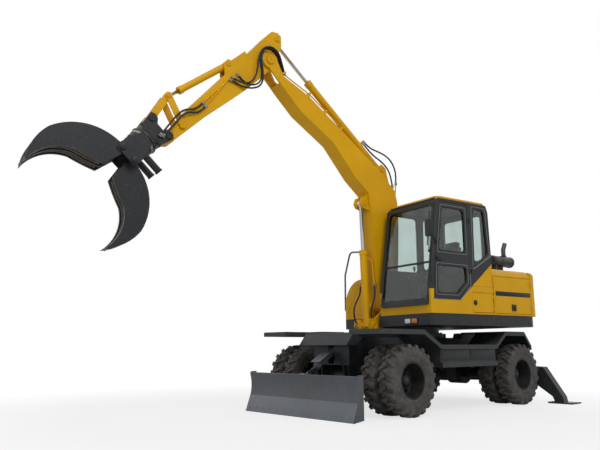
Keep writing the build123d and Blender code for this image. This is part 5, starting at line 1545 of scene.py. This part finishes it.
class LOADER_OT_finishes(Operator):
    """Make every finish and the trees that repeat small parts"""

    bl_idname = "loader.finishes"
    bl_label = "Make finishes"

    def execute(self, context):
        paints = context.scene.loader_paint
        body, steel, blade, grapple, rims, amber = [
            tuple(each) for each in (
                paints.body, paints.frame, paints.blade, paints.grapple, paints.rims, paints.amber
            )
        ]
        made = [
            paint("body_paint", "yellow", body, 0.2, 0.36, 0.16),
            paint("frame_paint", "slate", steel, 0.12, 0.36, 0.22),
            paint("stripe_paint", "slate", steel, 0.1, 0.36, 0.16),
            paint("blade_paint", "blade_grey", blade, 0.25, 0.42, 0.25),
            paint("blade_edge", "blade_grey", tuple(1.5 * c for c in blade), 0.25, 0.36, 0.3, 0.2),
            paint("guard_paint", "blade_grey", blade, 0.3, 0.4, 0.3),
            paint("rim_paint", "slate", rims, 0.12, 0.45, 0.15),
            paint("rail_paint", "slate", (0.16, 0.165, 0.17), 0.15, 0.35, 0.3),
            paint("exhaust_black", "black_steel", (0.026, 0.027, 0.031), 0.2, 0.3, 0.5),
            worn_steel("grapple_paint", "black_steel", grapple, (0.20, 0.155, 0.11), 0.7),
            worn_steel("ring_steel", "black_steel", (0.20, 0.21, 0.22), (0.42, 0.42, 0.41), 0.8),
            worn_steel("web_steel", "black_steel", (0.15, 0.125, 0.095), (0.30, 0.26, 0.20), 1.4),
            worn_steel("rim_steel", "slate", (0.035, 0.035, 0.036), (0.14, 0.12, 0.10), 0.6),
            worn_steel("bare_steel", "chrome", (0.16, 0.155, 0.15), (0.34, 0.33, 0.31), 0.8),
            worn_steel("zinc_steel", "chrome", (0.22, 0.22, 0.21), (0.45, 0.44, 0.42), 0.6),
            rod_chrome(),
            tyre_rubber(),
            plastic("hose_rubber", "hose_rubber", (0.012, 0.012, 0.013), 0.5, 0.2),
            plastic("seal_rubber", "black_plastic", (0.014, 0.015, 0.016), 0.45, 0.2),
            plastic("console_plastic", "black_plastic", (0.040, 0.041, 0.043), 0.5, 0.5),
            # Light grey plastic for the window strips, which are painted highlights on the
            # openings' edges.
            plastic("painted_highlight_strip", "black_plastic", (0.20, 0.21, 0.21), 0.3, 0.1),
            tinted_glass(),
            lamp_lens("white_lens", (0.78, 0.79, 0.80)),
            lamp_lens("amber_lens", amber),
            seat_cloth(),
            cast_iron(),
            tread_sheet(),
            mirror_glass(),
        ]
        finishes.update({each.name: each for each in made})
        trees["ring"] = repeat_tree("Ring of copies", True)
        trees["row"] = repeat_tree("Row of copies", False)
        return {"FINISHED"}


class LOADER_OT_hoses(Operator):
    """Lay the nine hoses with their crimped ends"""

    bl_idname = "loader.hoses"
    bl_label = "Lay hoses"

    def execute(self, context):
        lay_hoses(context.scene.loader_sizes.hose_radius)
        return {"FINISHED"}


class LOADER_OT_skins(Operator):
    """Round the edges of the rigid pieces and paint them"""

    bl_idname = "loader.skins"
    bl_label = "Dress rigid pieces"

    def execute(self, context):
        dress_skins()
        return {"FINISHED"}


class LOADER_OT_wheels(Operator):
    """Make the tyres, wheel nuts and hub caps"""

    bl_idname = "loader.wheels"
    bl_label = "Make wheels"

    def execute(self, context):
        make_wheels(context.scene.loader_sizes)
        return {"FINISHED"}


class LOADER_OT_cab(Operator):
    """Make the cab's roof, seals, seat, lamps and mirror"""

    bl_idname = "loader.cab"
    bl_label = "Make cab"

    def execute(self, context):
        make_roof()
        make_cab_seals()
        make_seat()
        make_fittings()
        return {"FINISHED"}


class LOADER_OT_body(Operator):
    """Make the trim of the hood, locker, tank and exhaust"""

    bl_idname = "loader.body"
    bl_label = "Make body trim"

    def execute(self, context):
        make_body_trim()
        return {"FINISHED"}


class LOADER_OT_arm(Operator):
    """Make the pin covers of the boom, arm and linkage, and the grapple's trim"""

    bl_idname = "loader.arm"
    bl_label = "Make arm trim"

    def execute(self, context):
        make_pins()
        make_grapple_trim()
        return {"FINISHED"}


class LOADER_OT_carrier(Operator):
    """Make the trim of the carrier, blade and legs"""

    bl_idname = "loader.carrier"
    bl_label = "Make carrier trim"

    def execute(self, context):
        make_carrier_trim()
        return {"FINISHED"}


class LOADER_OT_stage(Operator):
    """Set the camera, floor, world and lamps"""

    bl_idname = "loader.stage"
    bl_label = "Set stage"

    def execute(self, context):
        make_stage(context.scene.loader_stage)
        return {"FINISHED"}


operators = (
    LOADER_OT_stage,
    LOADER_OT_finishes,
    LOADER_OT_hoses,
    LOADER_OT_skins,
    LOADER_OT_wheels,
    LOADER_OT_cab,
    LOADER_OT_body,
    LOADER_OT_arm,
    LOADER_OT_carrier,
)


class LOADER_PT_panel(Panel):
    """The loader's colours, sizes and steps"""

    bl_label = "Log grapple loader"
    bl_space_type = "VIEW_3D"
    bl_region_type = "UI"
    bl_category = "Loader"

    def draw(self, context):
        scene = context.scene
        for group in (scene.loader_paint, scene.loader_sizes, scene.loader_stage):
            box = self.layout.box()
            for name in group.bl_rna.properties.keys():
                if name not in ("rna_type", "name"):
                    box.prop(group, name)
        for step in operators:
            self.layout.operator(step.bl_idname)


groups = {"loader_paint": LoaderPaint, "loader_sizes": LoaderSizes, "loader_stage": LoaderStage}


def register():
    """Register the add-on's classes and its settings on the scene."""
    for each in (*groups.values(), *operators, LOADER_PT_panel):
        bpy.utils.register_class(each)
    for name, group in groups.items():
        setattr(bpy.types.Scene, name, PointerProperty(type=group))


def unregister():
    """Take the add-on's settings and classes away again."""
    for name in groups:
        delattr(bpy.types.Scene, name)
    for each in (LOADER_PT_panel, *reversed(operators), *groups.values()):
        bpy.utils.unregister_class(each)


def main():
    """Dress the machine step by step."""
    register()
    for step in operators:
        group, name = step.bl_idname.split(".")
        getattr(getattr(bpy.ops, group), name)()


if __name__ == "__main__":
    main()
